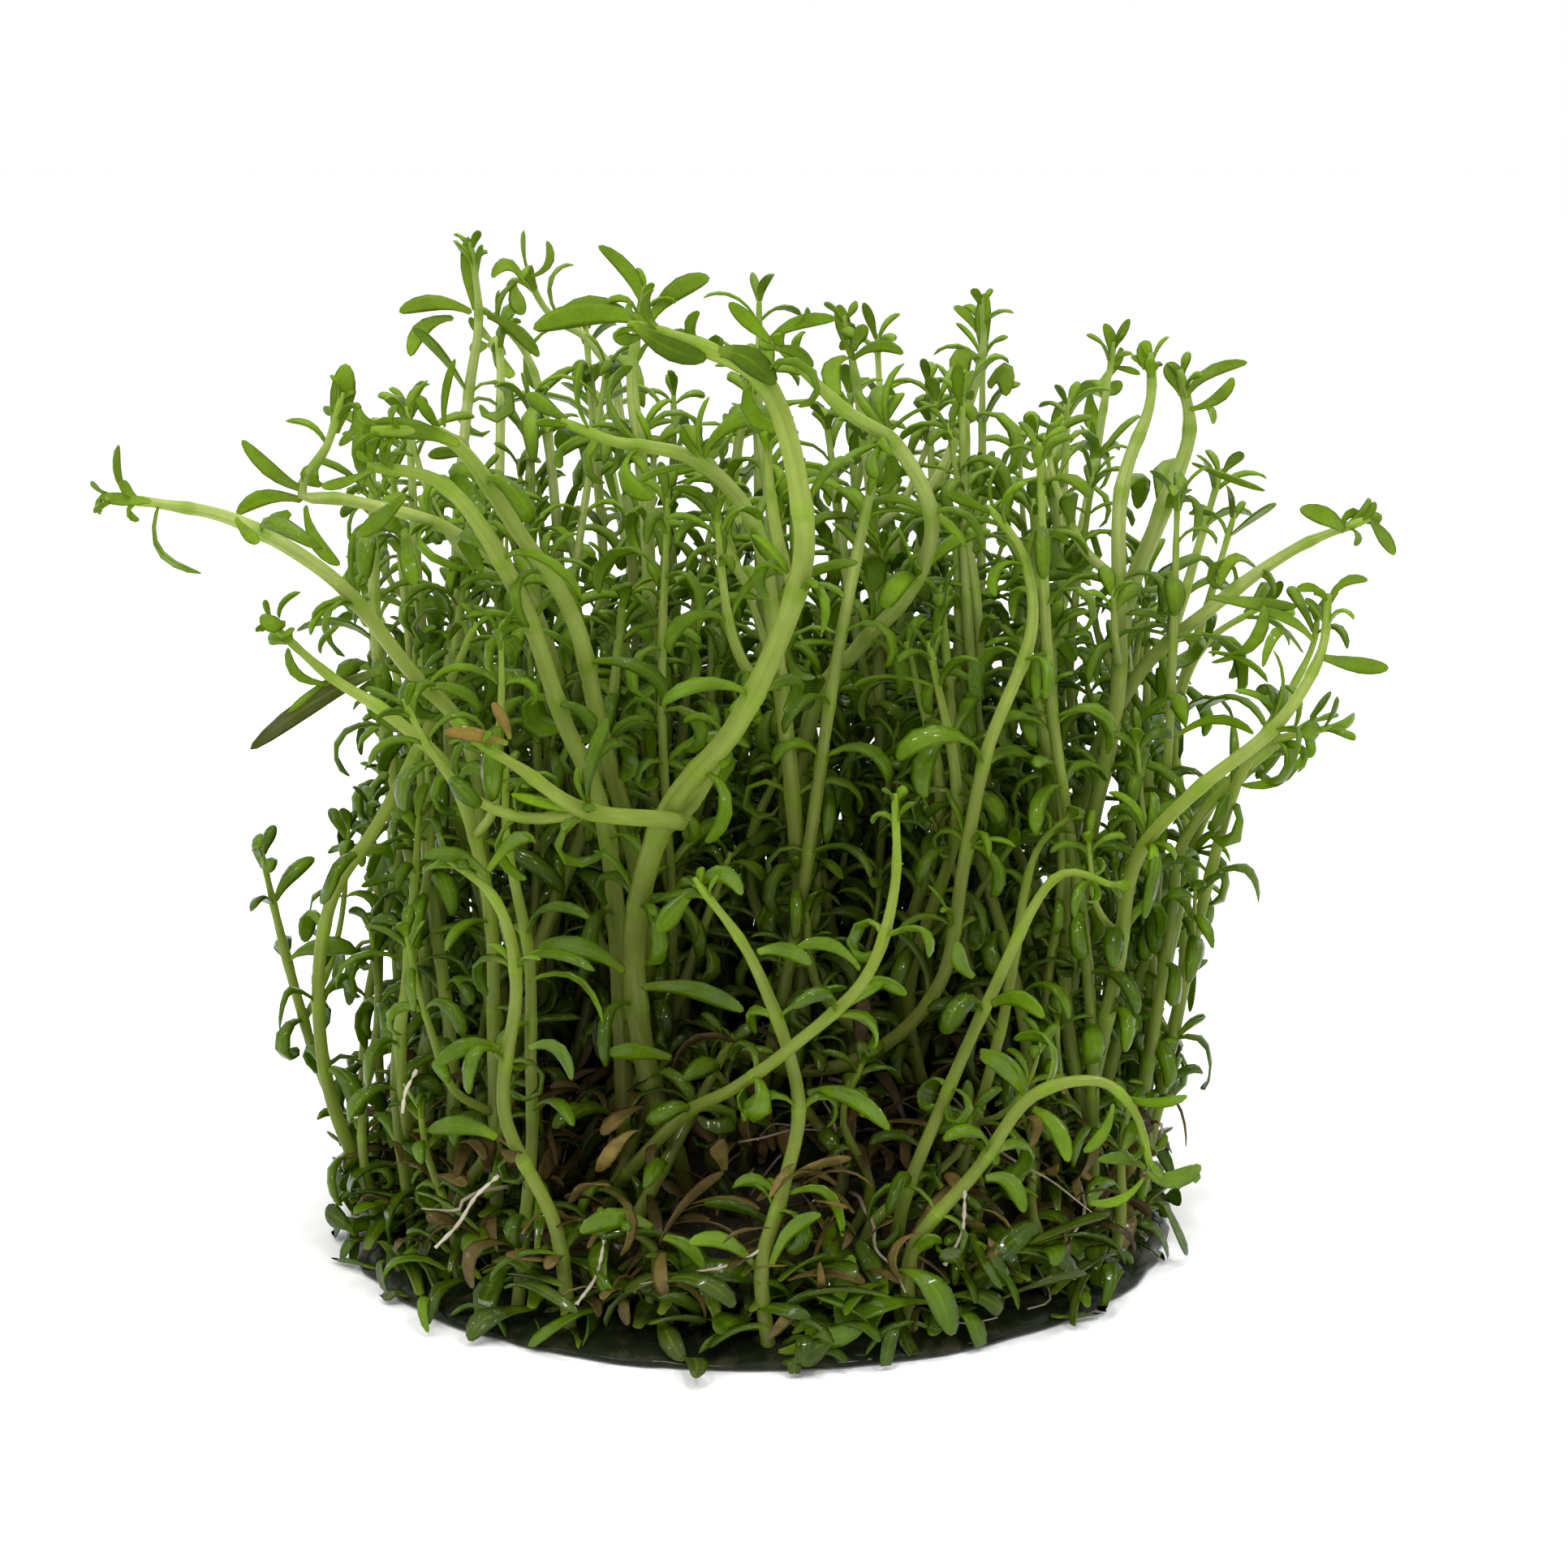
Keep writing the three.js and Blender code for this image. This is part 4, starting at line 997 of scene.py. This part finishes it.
def wet_group():
    """Water on a surface: a film that is whole near the pad and breaks into patches higher up."""
    paint, given, end = new_group(
        "Wet film", {"Dry": 0.45, "Wet": 0.12, "Reach": 0.05},
        {"Roughness": "NodeSocketFloat", "Film": "NodeSocketFloat"})
    place = paint.place()
    height = paint.apart(place)["Z"]
    patch = paint.noise(place, 420.0)
    dry = paint.map(paint.math("DIVIDE", height, given["Reach"]), 0.0, 1.4, 0.0, 0.42)
    film = paint.map(paint.math("SUBTRACT", patch, dry), 0.18, 0.42)
    span = paint.math("SUBTRACT", given["Wet"], given["Dry"])
    paint.feed(end, "Roughness", paint.math("ADD", given["Dry"], paint.math("MULTIPLY", span, film)))
    paint.feed(end, "Film", film)


def painted_shade_group():
    """Painted shade in the clump: 1 low down inside it, where shade falls, 0 at its outside and above."""
    paint, given, end = new_group(
        "Painted shade in clump", {"Outer": 0.027, "Inner": 0.019, "Top": 0.05, "Bottom": 0.014},
        {"Depth": "NodeSocketFloat"})
    apart = paint.apart(paint.place())
    squares = [paint.math("MULTIPLY", apart[axis], apart[axis]) for axis in ("X", "Y")]
    reach = paint.math("SQRT", paint.math("ADD", *squares))
    inside = paint.map(reach, given["Inner"], given["Outer"], 1.0, 0.0)
    low = paint.map(apart["Z"], given["Bottom"], given["Top"], 1.0, 0.0)
    paint.feed(end, "Depth", paint.math("MULTIPLY", inside, low))


def young_and_lit_group():
    """Young growth and painted light: 0 low down, 1 at the top and more so at the back and the sides, where
    the stems are palest; partly young tissue, partly painted light from above and behind.
    """
    paint, given, end = new_group(
        "Young growth and painted light", {"From": 0.036, "To": 0.062}, {"Young and lit": "NodeSocketFloat"})
    apart = paint.apart(paint.place())
    high = paint.map(apart["Z"], given["From"], given["To"])
    behind = paint.map(apart["Y"], -0.026, 0.008, 0.15, 1.0)
    aside = paint.map(paint.math("ABSOLUTE", apart["X"]), 0.022, 0.036)
    paint.feed(end, "Young and lit", paint.math("MULTIPLY", high, paint.math("MAXIMUM", behind, aside)))


def with_painted_shade(paint, colour):
    """A colour with painted shade, darker with depth in the clump."""
    depth = paint.group("Painted shade in clump")["Depth"]
    dark = paint.mix(1.0, colour, PAINTED_SHADE, "MULTIPLY")
    return paint.mix(paint.math("MULTIPLY", depth, PAINTED_SHADE_SHARE), colour, dark)


def new_material(name):
    """Makes an empty material and returns the paint for its nodes."""
    material = bpy.data.materials.new(name)
    material.use_nodes = True
    return Paint(material.node_tree)


def tissue(paint, colour, patch, cell, amount):
    """The colour and the relief of tissue, with painted shade deep in the clump."""
    made = paint.group(
        "Plant tissue", Colour=with_painted_shade(paint, colour), Patch=patch, Cell=cell, Amount=amount)
    return made["Colour"], made["Height"]


def damp_skin(paint, colour, normal, film, share, coat_roughness, specular):
    """A surface under a film of water; film says how dry, how wet and how high it reaches."""
    water = paint.group("Wet film", **dict(zip(("Dry", "Wet", "Reach"), film)))
    return paint.node("ShaderNodeBsdfPrincipled", {
        "Base Color": colour, "Roughness": water["Roughness"],
        "Coat Weight": paint.math("MULTIPLY", water["Film"], share),
        "Coat Roughness": coat_roughness, "Specular IOR Level": specular, "Normal": normal})


def shine_through(paint, surface, colour, share):
    """Light that passes through thin tissue, mixed with the surface, and the output."""
    glow = paint.node("ShaderNodeBsdfTranslucent", {"Color": colour})
    paint.output(paint.node("ShaderNodeMixShader", {
        0: share, 1: surface.outputs["BSDF"], 2: glow.outputs["BSDF"]}))


def leaf_material(colours):
    """Green leaf: darker and duller low down, partly older leaves and partly painted shade, painted shade
    along its edges and deep in the clump, paler towards the top and back as young growth and painted light,
    a pale foot and midrib, fine cells, patches of water.
    """
    paint = new_material("leaf_green")
    tint = paint.tint()
    uv = paint.apart(paint.uv())
    across = paint.math("ABSOLUTE", paint.math("SUBTRACT", uv["X"], 0.5))
    base = paint.mix(tint, rgba(colours.old_leaf_and_shade), rgba(colours.leaf))
    base = paint.mix(paint.map(tint, -1.0, 0.0, 1.0, 0.0), base, BROWNED_LEAF)
    base = paint.mix(paint.map(tint, -2.0, -1.0, 1.0, 0.0), base, ORANGE_LEAF)
    # Paler towards the top, back and sides: partly young growth, partly painted light.
    young = paint.group("Young growth and painted light")["Young and lit"]
    base = paint.mix(paint.math("MULTIPLY", young, 0.3), base, YOUNG_AND_LIT_LEAF)
    base = paint.mix(paint.map(uv["Y"], 0.02, 0.3, 0.75, 0.0), base, PALE_FOOT)
    rib = paint.math(
        "MULTIPLY", paint.map(across, 0.03, 0.09, 0.38, 0.0), paint.map(uv["Y"], 0.6, 1.0, 1.0, 0.0))
    base = paint.mix(rib, base, MIDRIB)
    # Painted shade: the leaf's edges are darkened towards the old leaf colour.
    base = paint.mix(paint.map(across, 0.36, 0.5, 0.0, 0.45), base, rgba(colours.old_leaf_and_shade))
    colour, height = tissue(paint, base, 330.0, 3200.0, 0.6)
    surface = damp_skin(
        paint, colour, paint.bump(height, 0.00008, 0.6), (0.42, 0.14, 0.06), 0.45, 0.04, 0.1)
    shine_through(paint, surface, paint.mix(0.5, colour, LEAF_GLOW), 0.36)


def stem_material(colours):
    """Pale stem: olive at its foot, yellow-green above, paler at the clump's top and back as young growth
    and painted light, painted shade deep in the clump, fine lengthwise cells and a wet gloss.
    """
    paint = new_material("stem_green")
    height = paint.apart(paint.place())["Z"]
    base = paint.mix(paint.map(height, 0.004, 0.046), rgba(colours.old_stem), rgba(colours.stem))
    # Paler towards the top, back and sides: partly young growth, partly painted light.
    young = paint.group("Young growth and painted light")["Young and lit"]
    base = paint.mix(paint.math("MULTIPLY", young, 0.8), base, YOUNG_AND_LIT_STEM)
    fresh = paint.map(paint.apart(paint.uv())["Y"], 0.82, 1.0, 0.0, 0.45)
    base = paint.mix(fresh, base, rgba(colours.leaf, 1.3))
    node = paint.tint()
    base = paint.mix(paint.map(node, 0.3, 0.75, 0.0, 0.55), base, rgba(colours.leaf, 1.1))
    base = paint.mix(paint.map(node, 0.85, 1.0, 0.0, 0.6), base, rgba(colours.stem, 1.15))
    lengthwise = paint.node("ShaderNodeMapping", {"Vector": paint.uv(), "Scale": (16.0, 7.0, 1.0)})
    streaks = paint.noise(lengthwise.outputs[0], 1.0, 3.0, 0.6)
    base = paint.mix(paint.map(streaks, 0.42, 0.68, 0.0, 0.5), base, rgba(colours.old_stem, 0.85))
    colour, height = tissue(paint, base, 210.0, 2200.0, 0.4)
    surface = damp_skin(
        paint, colour, paint.bump(height, 0.0001, 0.5), (0.4, 0.16, 0.05), 0.25, 0.08, 0.12)
    shine_through(paint, surface, paint.mix(0.75, colour, STEM_GLOW), 0.4)


def dead_leaf_material(colours):
    """Dead leaf: brown to straw, blotched, damp."""
    paint = new_material("dead_leaf")
    base = paint.mix(paint.tint(), rgba(colours.dead_leaf, 0.3), rgba(colours.dead_leaf, 1.25))
    colour, height = tissue(paint, base, 480.0, 1900.0, 0.9)
    surface = damp_skin(
        paint, colour, paint.bump(height, 0.0002, 0.8), (0.6, 0.2, 0.012), 0.25, 0.1, 0.12)
    shine_through(paint, surface, colour, 0.2)


def root_material(colours):
    """Fine roots: cream with brown stretches."""
    paint = new_material("root_cream")
    base = paint.mix(paint.tint(), rgba(colours.dead_leaf, 0.8), rgba(colours.root))
    colour, height = tissue(paint, base, 300.0, 3000.0, 0.6)
    surface = paint.node("ShaderNodeBsdfPrincipled", {
        "Base Color": colour, "Roughness": 0.4, "Coat Weight": 0.3,
        "Normal": paint.bump(height, 0.00008, 0.5)})
    shine_through(paint, surface, colour, 0.25)


def gel_material(colours):
    """Culture gel: almost black green, wet, with pale smears where roots lie in it."""
    paint = new_material("gel_dark")
    place = paint.place()
    smear = paint.noise(place, 190.0, 6.0, 0.65, 1.2)
    ripple = paint.noise(place, 520.0)
    paint.output(paint.node("ShaderNodeBsdfPrincipled", {
        "Base Color": paint.mix(paint.map(smear, 0.52, 0.8), rgba(colours.gel), GEL_SMEAR),
        "Roughness": paint.map(smear, 0.4, 0.75, 0.12, 0.4),
        "Specular IOR Level": 0.06, "Coat Weight": 0.12, "Coat Roughness": 0.03,
        "Normal": paint.bump(paint.math("ADD", ripple, smear), 0.0004, 0.35)}))


def mat_material(colours):
    """Root mat: dark brown matted fibre, damp."""
    paint = new_material("mat_brown")
    fibre = paint.noise(paint.place(), 700.0, 6.0, 0.7, 2.0)
    base = paint.mix(paint.map(fibre, 0.35, 0.7), rgba(colours.gel, 1.3), rgba(colours.dead_leaf, 0.42))
    paint.output(paint.node("ShaderNodeBsdfPrincipled", {
        "Base Color": base, "Roughness": paint.map(fibre, 0.3, 0.7, 0.25, 0.7),
        "Normal": paint.bump(fibre, 0.0008, 0.9)}))


# ---- the pad, the mat and what lies on it -------------------------------------------------------


def turned_piece(name, profile, steps, lump, material, node):
    """A profile spun about the middle, then made slightly uneven by lump."""
    bm = bmesh.new()
    verts = [bm.verts.new((radius, 0.0, height)) for radius, height in profile]
    edges = [bm.edges.new(pair) for pair in zip(verts, verts[1:])]
    bmesh.ops.spin(
        bm, geom=verts + edges, cent=(0, 0, 0), axis=(0, 0, 1), dvec=(0, 0, 0),
        angle=2 * math.pi, steps=steps, use_merge=True, use_duplicate=False)
    bmesh.ops.remove_doubles(bm, verts=bm.verts, dist=1e-6)
    for vert in bm.verts:
        lump(vert.co)
    for face in bm.faces:
        face.smooth = True
    bmesh.ops.recalc_face_normals(bm, faces=bm.faces)
    show_piece(mesh_of(bm, name), (material,), node)


PAD_RIM = 0.8            # the pad's rim is uneven beyond this part of its radius
RIM_WAVE = 0.016         # how far the rim waves, as a part of the pad's radius
PAD_RIPPLE = 0.28 * MM   # height of the ripples on the pad
MAT_LUMP = 1.0 * MM      # height of the mat's lumps


def lump_pad(spot):
    """Waves in the pad's rim and low ripples on its top; its underside stays flat."""
    ripple = noise.noise(spot * 210.0) + 0.6 * noise.noise(spot * 560.0)
    edge = math.hypot(spot.x, spot.y) / PAD_RADIUS
    if edge > PAD_RIM:
        push = 1 + RIM_WAVE * min(ripple, 0.4) * (edge - PAD_RIM) * 5
        spot.x *= push
        spot.y *= push
    if spot.z > 0.3 * MM:
        spot.z += PAD_RIPPLE * noise.noise(spot * 330.0)


def lump_mat(spot):
    """The mat's lumps and hollows."""
    if spot.z > MAT_LOW[2] + 0.2 * MM:
        spot.z += MAT_LUMP * noise.fractal(spot * 260.0, 0.8, 2.0, 3)
        spot.z = max(spot.z, PAD_TOP - 0.2 * MM)


def lying_leaf(rng, radius, height, length, width, thickness, tint, stand):
    """A leaf that lies about anyhow at a distance from the middle; stand is the most that it rises."""
    bearing = rng.uniform(0, 2 * math.pi)
    foot = Vector((radius * math.cos(bearing), radius * math.sin(bearing), height))
    heading = rng.uniform(0, 2 * math.pi)
    along = Vector((math.cos(heading), math.sin(heading), rng.uniform(-0.1, stand))).normalized()
    outward = (UP - along * along.dot(UP)).normalized()
    leaf = arc_leaf(
        foot, along, outward, length, math.radians(rng.uniform(-10, 45)),
        math.radians(rng.uniform(-150, -20)), width, thickness, rng.uniform(-1.2, 1.2), tint,
        sway=rng.uniform(-1.0, 1.0))
    leaf.wall = PAD_RADIUS
    return leaf


# ---- operators ------------------------------------------------------------------------------


class CLUMP_OT_materials(bpy.types.Operator):
    """Makes the materials that all pieces share"""

    bl_idname = "clump.materials"
    bl_label = "Materials"

    def execute(self, context):
        colours = context.scene.clump_colours
        tissue_group()
        wet_group()
        painted_shade_group()
        young_and_lit_group()
        for maker in (leaf_material, stem_material, dead_leaf_material, root_material, gel_material,
                      mat_material):
            maker(colours)
        return {"FINISHED"}


class CLUMP_OT_gel_pad(bpy.types.Operator):
    """Makes the thin wet pad of culture gel"""

    bl_idname = "clump.gel_pad"
    bl_label = "Gel pad"

    def execute(self, context):
        profile = [(PAD_RADIUS * part, 0.0) for part in (0.0, 0.5, 0.97)]
        for part, height in (
                (0.988, 0.04), (0.998, 0.12), (1.0, 0.22), (0.995, 0.36), (0.984, 0.52), (0.966, 0.68),
                (0.945, 0.82), (0.92, 0.93)):
            profile.append((PAD_RADIUS * part, PAD_TOP * height))
        profile += [(PAD_RADIUS * part, PAD_TOP) for part in (0.89, 0.85, 0.8, 0.7, 0.5, 0.0)]
        turned_piece("gel_disc", profile, 160, lump_pad, "gel_dark", "gel_pad")
        return {"FINISHED"}


class CLUMP_OT_root_mat(bpy.types.Operator):
    """Makes the matted mound under the stems"""

    bl_idname = "clump.root_mat"
    bl_label = "Root mat"

    def execute(self, context):
        low = MAT_LOW[2] - 0.3 * MM
        profile = [(0.0, low), (MAT_RADIUS, low)]
        profile += [(MAT_RADIUS * part / 20, mat_top(MAT_RADIUS * part / 20)) for part in range(20, -1, -1)]
        turned_piece("matted_mound", profile, 96, lump_mat, "mat_brown", "root_mat")
        return {"FINISHED"}


class CLUMP_OT_plantlets(bpy.types.Operator):
    """Grows every plantlet on its own route"""

    bl_idname = "clump.plantlets"
    bl_label = "Plantlets"

    def execute(self, context):
        for number, (name, radius, points) in enumerate(PLANTLETS):
            grow_plantlet(number, name, radius, points, context.scene.clump_sizes)
        return {"FINISHED"}


class CLUMP_OT_inner_stalks(bpy.types.Operator):
    """Grows the thin leafy stalks between the plantlets"""

    bl_idname = "clump.inner_stalks"
    bl_label = "Inner stalks"
    PARTS = 3
    FRONT = -11 * MM      # the stalks in front of this are few and low
    BARE = -21 * MM       # and in front of this there are none
    GOLDEN_TURN = 2.4     # radians from one stalk to the next, which spreads them evenly


    def execute(self, context):
        sizes = context.scene.clump_sizes
        for part in range(self.PARTS):
            rng = random.Random(sizes.seed + 5 + part)
            piece = Piece(f"inner_stalks_{part + 1}")
            for number in range(part, sizes.inner_stalks, self.PARTS):
                self.stalk(piece, number, sizes, rng)
            piece.finish(FRESH, "root_mat")
        return {"FINISHED"}

    def stalk(self, piece, number, sizes, rng):
        """One stalk with its leaves, unless its place is in the bare front."""
        bearing = number * self.GOLDEN_TURN
        reach = 31 * MM * ((number + 0.5) / sizes.inner_stalks) ** 0.42
        foot = Vector((reach * math.cos(bearing), reach * math.sin(bearing), 0.0))
        if foot.y < self.FRONT and (number % 3 or foot.y < self.BARE):
            return
        foot.z = foot_height(foot.x, foot.y, 0.0) - FOOT_DEPTH
        height = rng.uniform(7, 18) * MM if foot.y < self.FRONT else rng.uniform(18, 63) * MM
        free = 1.0 - 0.6 * reach / CUP_RADIUS
        lean = Vector((rng.uniform(-13, 13) * MM, rng.uniform(-9, 9) * MM, 0)) * free - foot * 0.12
        lean.z = height
        bow = Vector((rng.uniform(-5, 5) * MM, rng.uniform(-4, 4) * MM, 0)) * free
        route = Route([foot, foot + lean * 0.35 + bow, foot + lean * 0.7 - bow * 0.4, foot + lean])
        nodes = leaf_nodes(route.length, sizes, rng, 0.62)
        radius = rng.uniform(0.34, 0.52) * MM
        piece.tube(route, stem_radius(radius, route.length, nodes), sides=7, ring_gap=1.4 * MM, nodes=nodes)
        grow_leaves(piece, route, nodes, bearing, radius, sizes, rng, scale=0.9, keep=0.9)


class CLUMP_OT_dead_leaves(bpy.types.Operator):
    """Scatters the brown leaves over the mat and the rim"""

    bl_idname = "clump.dead_leaves"
    bl_label = "Dead leaves"

    def execute(self, context):
        sizes = context.scene.clump_sizes
        rng = random.Random(sizes.seed + 1)
        piece = Piece("dead_leaves")
        for _ in range(sizes.dead_leaves):
            radius = PAD_RADIUS * 0.98 * rng.uniform(0.02, 1.0) ** 0.4
            height = foot_height(radius, 0.0, 0.0) + rng.triangular(0.2, 15.0, 2.5) * MM
            piece.leaf(lying_leaf(
                rng, radius * 0.97, height, sizes.leaf_length * rng.uniform(0.3, 0.8),
                sizes.leaf_half_width * rng.uniform(0.4, 1.15), sizes.leaf_thickness * 0.4,
                rng.uniform(0.0, 1.0), 0.9), material=0)
        piece.finish(("dead_leaf",), "root_mat")
        return {"FINISHED"}


class CLUMP_OT_shed_leaves(bpy.types.Operator):
    """Scatters the green leaves that lie in the wet at the rim"""

    bl_idname = "clump.shed_leaves"
    bl_label = "Shed leaves"

    def execute(self, context):
        sizes = context.scene.clump_sizes
        rng = random.Random(sizes.seed + 2)
        piece = Piece("shed_leaves")
        for _ in range(sizes.shed_leaves):
            radius = PAD_RADIUS * rng.triangular(0.66, 1.0, 0.99)
            high = PAD_TOP + rng.triangular(0.1, 6.0, 0.3) * MM
            # Their tints run from browned to the dark old leaf colour, which is partly painted shade.
            piece.leaf(lying_leaf(
                rng, radius, high - 2.0 * MM * max(0.0, radius / PAD_RADIUS - 0.93) / 0.07,
                sizes.leaf_length * rng.uniform(0.4, 0.9), sizes.leaf_half_width * rng.uniform(0.8, 1.6),
                sizes.leaf_thickness, rng.triangular(-0.9, 0.75, 0.0), 0.45), material=0)
        piece.finish(("leaf_green",), "root_mat")
        return {"FINISHED"}


class CLUMP_OT_roots(bpy.types.Operator):
    """Draws the fine roots over the mat and into the gel"""

    bl_idname = "clump.roots"
    bl_label = "Roots"
    LUMPS = 2100    # how closely the thick and thin places of a shred follow each other

    @staticmethod
    def root_radius(radius, length):
        """Radius along a root, which thins to its end."""
        return lambda distance: radius * (1.15 - 0.7 * distance / length)

    def shred_radius(self, distance):
        """Radius along a shred, which is ragged."""
        return (0.13 + 0.16 * noise.noise(Vector((distance * self.LUMPS, 0, 0)))) * MM

    def execute(self, context):
        sizes = context.scene.clump_sizes
        rng = random.Random(sizes.seed + 3)
        piece = Piece("fine_roots")
        for _ in range(sizes.roots):
            bearing = rng.uniform(0, 2 * math.pi)
            radius = PAD_RADIUS * rng.uniform(0.35, 0.93)
            spot = Vector((radius * math.cos(bearing), radius * math.sin(bearing), 0.0))
            spot.z = foot_height(spot.x, spot.y, 0.0) + rng.uniform(0.4, 9.0) * MM
            heading = rng.uniform(0, 2 * math.pi)
            drop = rng.uniform(-0.5, 0.35)
            points = [spot]
            for _ in range(6):
                heading += rng.uniform(-0.7, 0.7)
                drop += rng.uniform(-0.35, 0.2)
                way = Vector((math.cos(heading), math.sin(heading), drop))
                spot = spot + way * rng.uniform(1.2, 2.6) * MM
                spot.z = max(spot.z, PAD_TOP + 0.15 * MM)
                over = math.hypot(spot.x, spot.y) / (PAD_RADIUS * 0.97)
                if over > 1:
                    spot.x /= over
                    spot.y /= over
                points.append(spot)
            route = Route(points)
            piece.tube(
                route, self.root_radius(rng.uniform(0.09, 0.17) * MM, route.length), sides=5,
                ring_gap=0.8 * MM, tint=rng.uniform(0.2, 1.0))
        for points in SHREDS:
            route = Route([Vector(point) * MM for point in points])
            piece.tube(route, self.shred_radius, sides=6, ring_gap=0.35 * MM, tint=1.0)
        piece.finish(("root_cream",), "root_mat")
        return {"FINISHED"}


class CLUMP_OT_stage(bpy.types.Operator):
    """Lays the pale floor and sets the light and the camera"""

    bl_idname = "clump.stage"
    bl_label = "Stage"
    AIM = Vector((2.04 * MM, 0.0, 34.6 * MM))   # the point that the camera looks at
    LIT = Vector((0.0, 0.0, 0.04))              # the point that the lamps face
    FLOOR_SIZE = 4.0
    FLOOR_GAP = 0.02 * MM                       # how far the floor is under the pad
    # Each lamp's name, place, size and share of the lamp power.
    LAMPS = (
        ("overhead", (0.05, 0.12, 0.55), 0.4, 0.48),
        ("window", (-0.35, -0.3, 0.4), 0.14, 0.2),
        ("left_spot", (-0.12, -0.34, 0.42), 0.05, 0.2),
        ("right_spot", (0.2, -0.26, 0.46), 0.05, 0.2),
        ("top_spot", (0.02, -0.1, 0.6), 0.05, 0.25),
    )

    def execute(self, context):
        settings = context.scene.clump_stage
        self.floor()
        self.light(context, settings)
        self.camera(context, settings)
        return {"FINISHED"}

    def floor(self):
        bm = bmesh.new()
        bmesh.ops.create_grid(bm, x_segments=2, y_segments=2, size=self.FLOOR_SIZE)
        paint = new_material("floor_white")
        grain = paint.noise(paint.place(), 60.0)
        paint.output(paint.node("ShaderNodeBsdfPrincipled", {
            "Base Color": WHITE, "Roughness": paint.map(grain, 0.3, 0.7, 0.7, 0.8)}))
        floor = show(mesh_of(bm, "floor"), "floor_white")
        floor.location.z = -self.FLOOR_GAP

    def light(self, context, settings):
        world = bpy.data.worlds.new("white_room")
        world.use_nodes = True
        paint = Paint(world.node_tree)
        paint.output(
            paint.node("ShaderNodeBackground", {"Color": WHITE, "Strength": settings.sky}),
            "ShaderNodeOutputWorld")
        context.scene.world = world
        for name, place, size, share in self.LAMPS:
            lamp = bpy.data.lights.new(name, "AREA")
            lamp.size = size
            lamp.energy = settings.lamp * share
            self.point(name, lamp, Vector(place), self.LIT - Vector(place))
        context.scene.view_settings.view_transform = "Standard"

    def camera(self, context, settings):
        camera = bpy.data.cameras.new("camera")
        camera.lens = settings.lens
        camera.sensor_width = 36.0
        camera.clip_start = 0.01
        view = Vector((0.0, math.cos(settings.pitch), -math.sin(settings.pitch)))
        context.scene.camera = self.point("camera", camera, self.AIM - view * settings.distance, view)

    def point(self, name, data, place, way):
        """Puts a lamp or a camera in its place, facing a way."""
        obj = bpy.data.objects.new(name, data)
        obj.location = place
        obj.rotation_mode = "QUATERNION"
        obj.rotation_quaternion = way.to_track_quat("-Z", "Y")
        bpy.context.scene.collection.objects.link(obj)
        return obj


OPERATORS = (
    CLUMP_OT_materials, CLUMP_OT_gel_pad, CLUMP_OT_root_mat, CLUMP_OT_plantlets, CLUMP_OT_inner_stalks,
    CLUMP_OT_dead_leaves, CLUMP_OT_shed_leaves, CLUMP_OT_roots, CLUMP_OT_stage,
)


class CLUMP_PT_panel(bpy.types.Panel):
    """Lists the clump's pieces in the order in which they are made"""

    bl_idname = "CLUMP_PT_panel"
    bl_label = "Stem plant clump"
    bl_space_type = "VIEW_3D"
    bl_region_type = "UI"
    bl_category = "Clump"

    def draw(self, context):
        for operator in OPERATORS:
            self.layout.operator(operator.bl_idname)
        for group in ("clump_sizes", "clump_colours", "clump_stage"):
            values = getattr(context.scene, group)
            for name in values.__annotations__:
                self.layout.prop(values, name)


CLASSES = (ClumpSizes, ClumpColours, ClumpStage, *OPERATORS, CLUMP_PT_panel)


def register():
    for cls in CLASSES:
        bpy.utils.register_class(cls)
    bpy.types.Scene.clump_sizes = PointerProperty(type=ClumpSizes)
    bpy.types.Scene.clump_colours = PointerProperty(type=ClumpColours)
    bpy.types.Scene.clump_stage = PointerProperty(type=ClumpStage)


def unregister():
    del bpy.types.Scene.clump_stage
    del bpy.types.Scene.clump_colours
    del bpy.types.Scene.clump_sizes
    for cls in reversed(CLASSES):
        bpy.utils.unregister_class(cls)


def main():
    register()
    bpy.ops.clump.materials()
    bpy.ops.clump.gel_pad()
    bpy.ops.clump.root_mat()
    bpy.ops.clump.plantlets()
    bpy.ops.clump.inner_stalks()
    bpy.ops.clump.dead_leaves()
    bpy.ops.clump.shed_leaves()
    bpy.ops.clump.roots()
    bpy.ops.clump.stage()


if __name__ == "__main__":
    main()
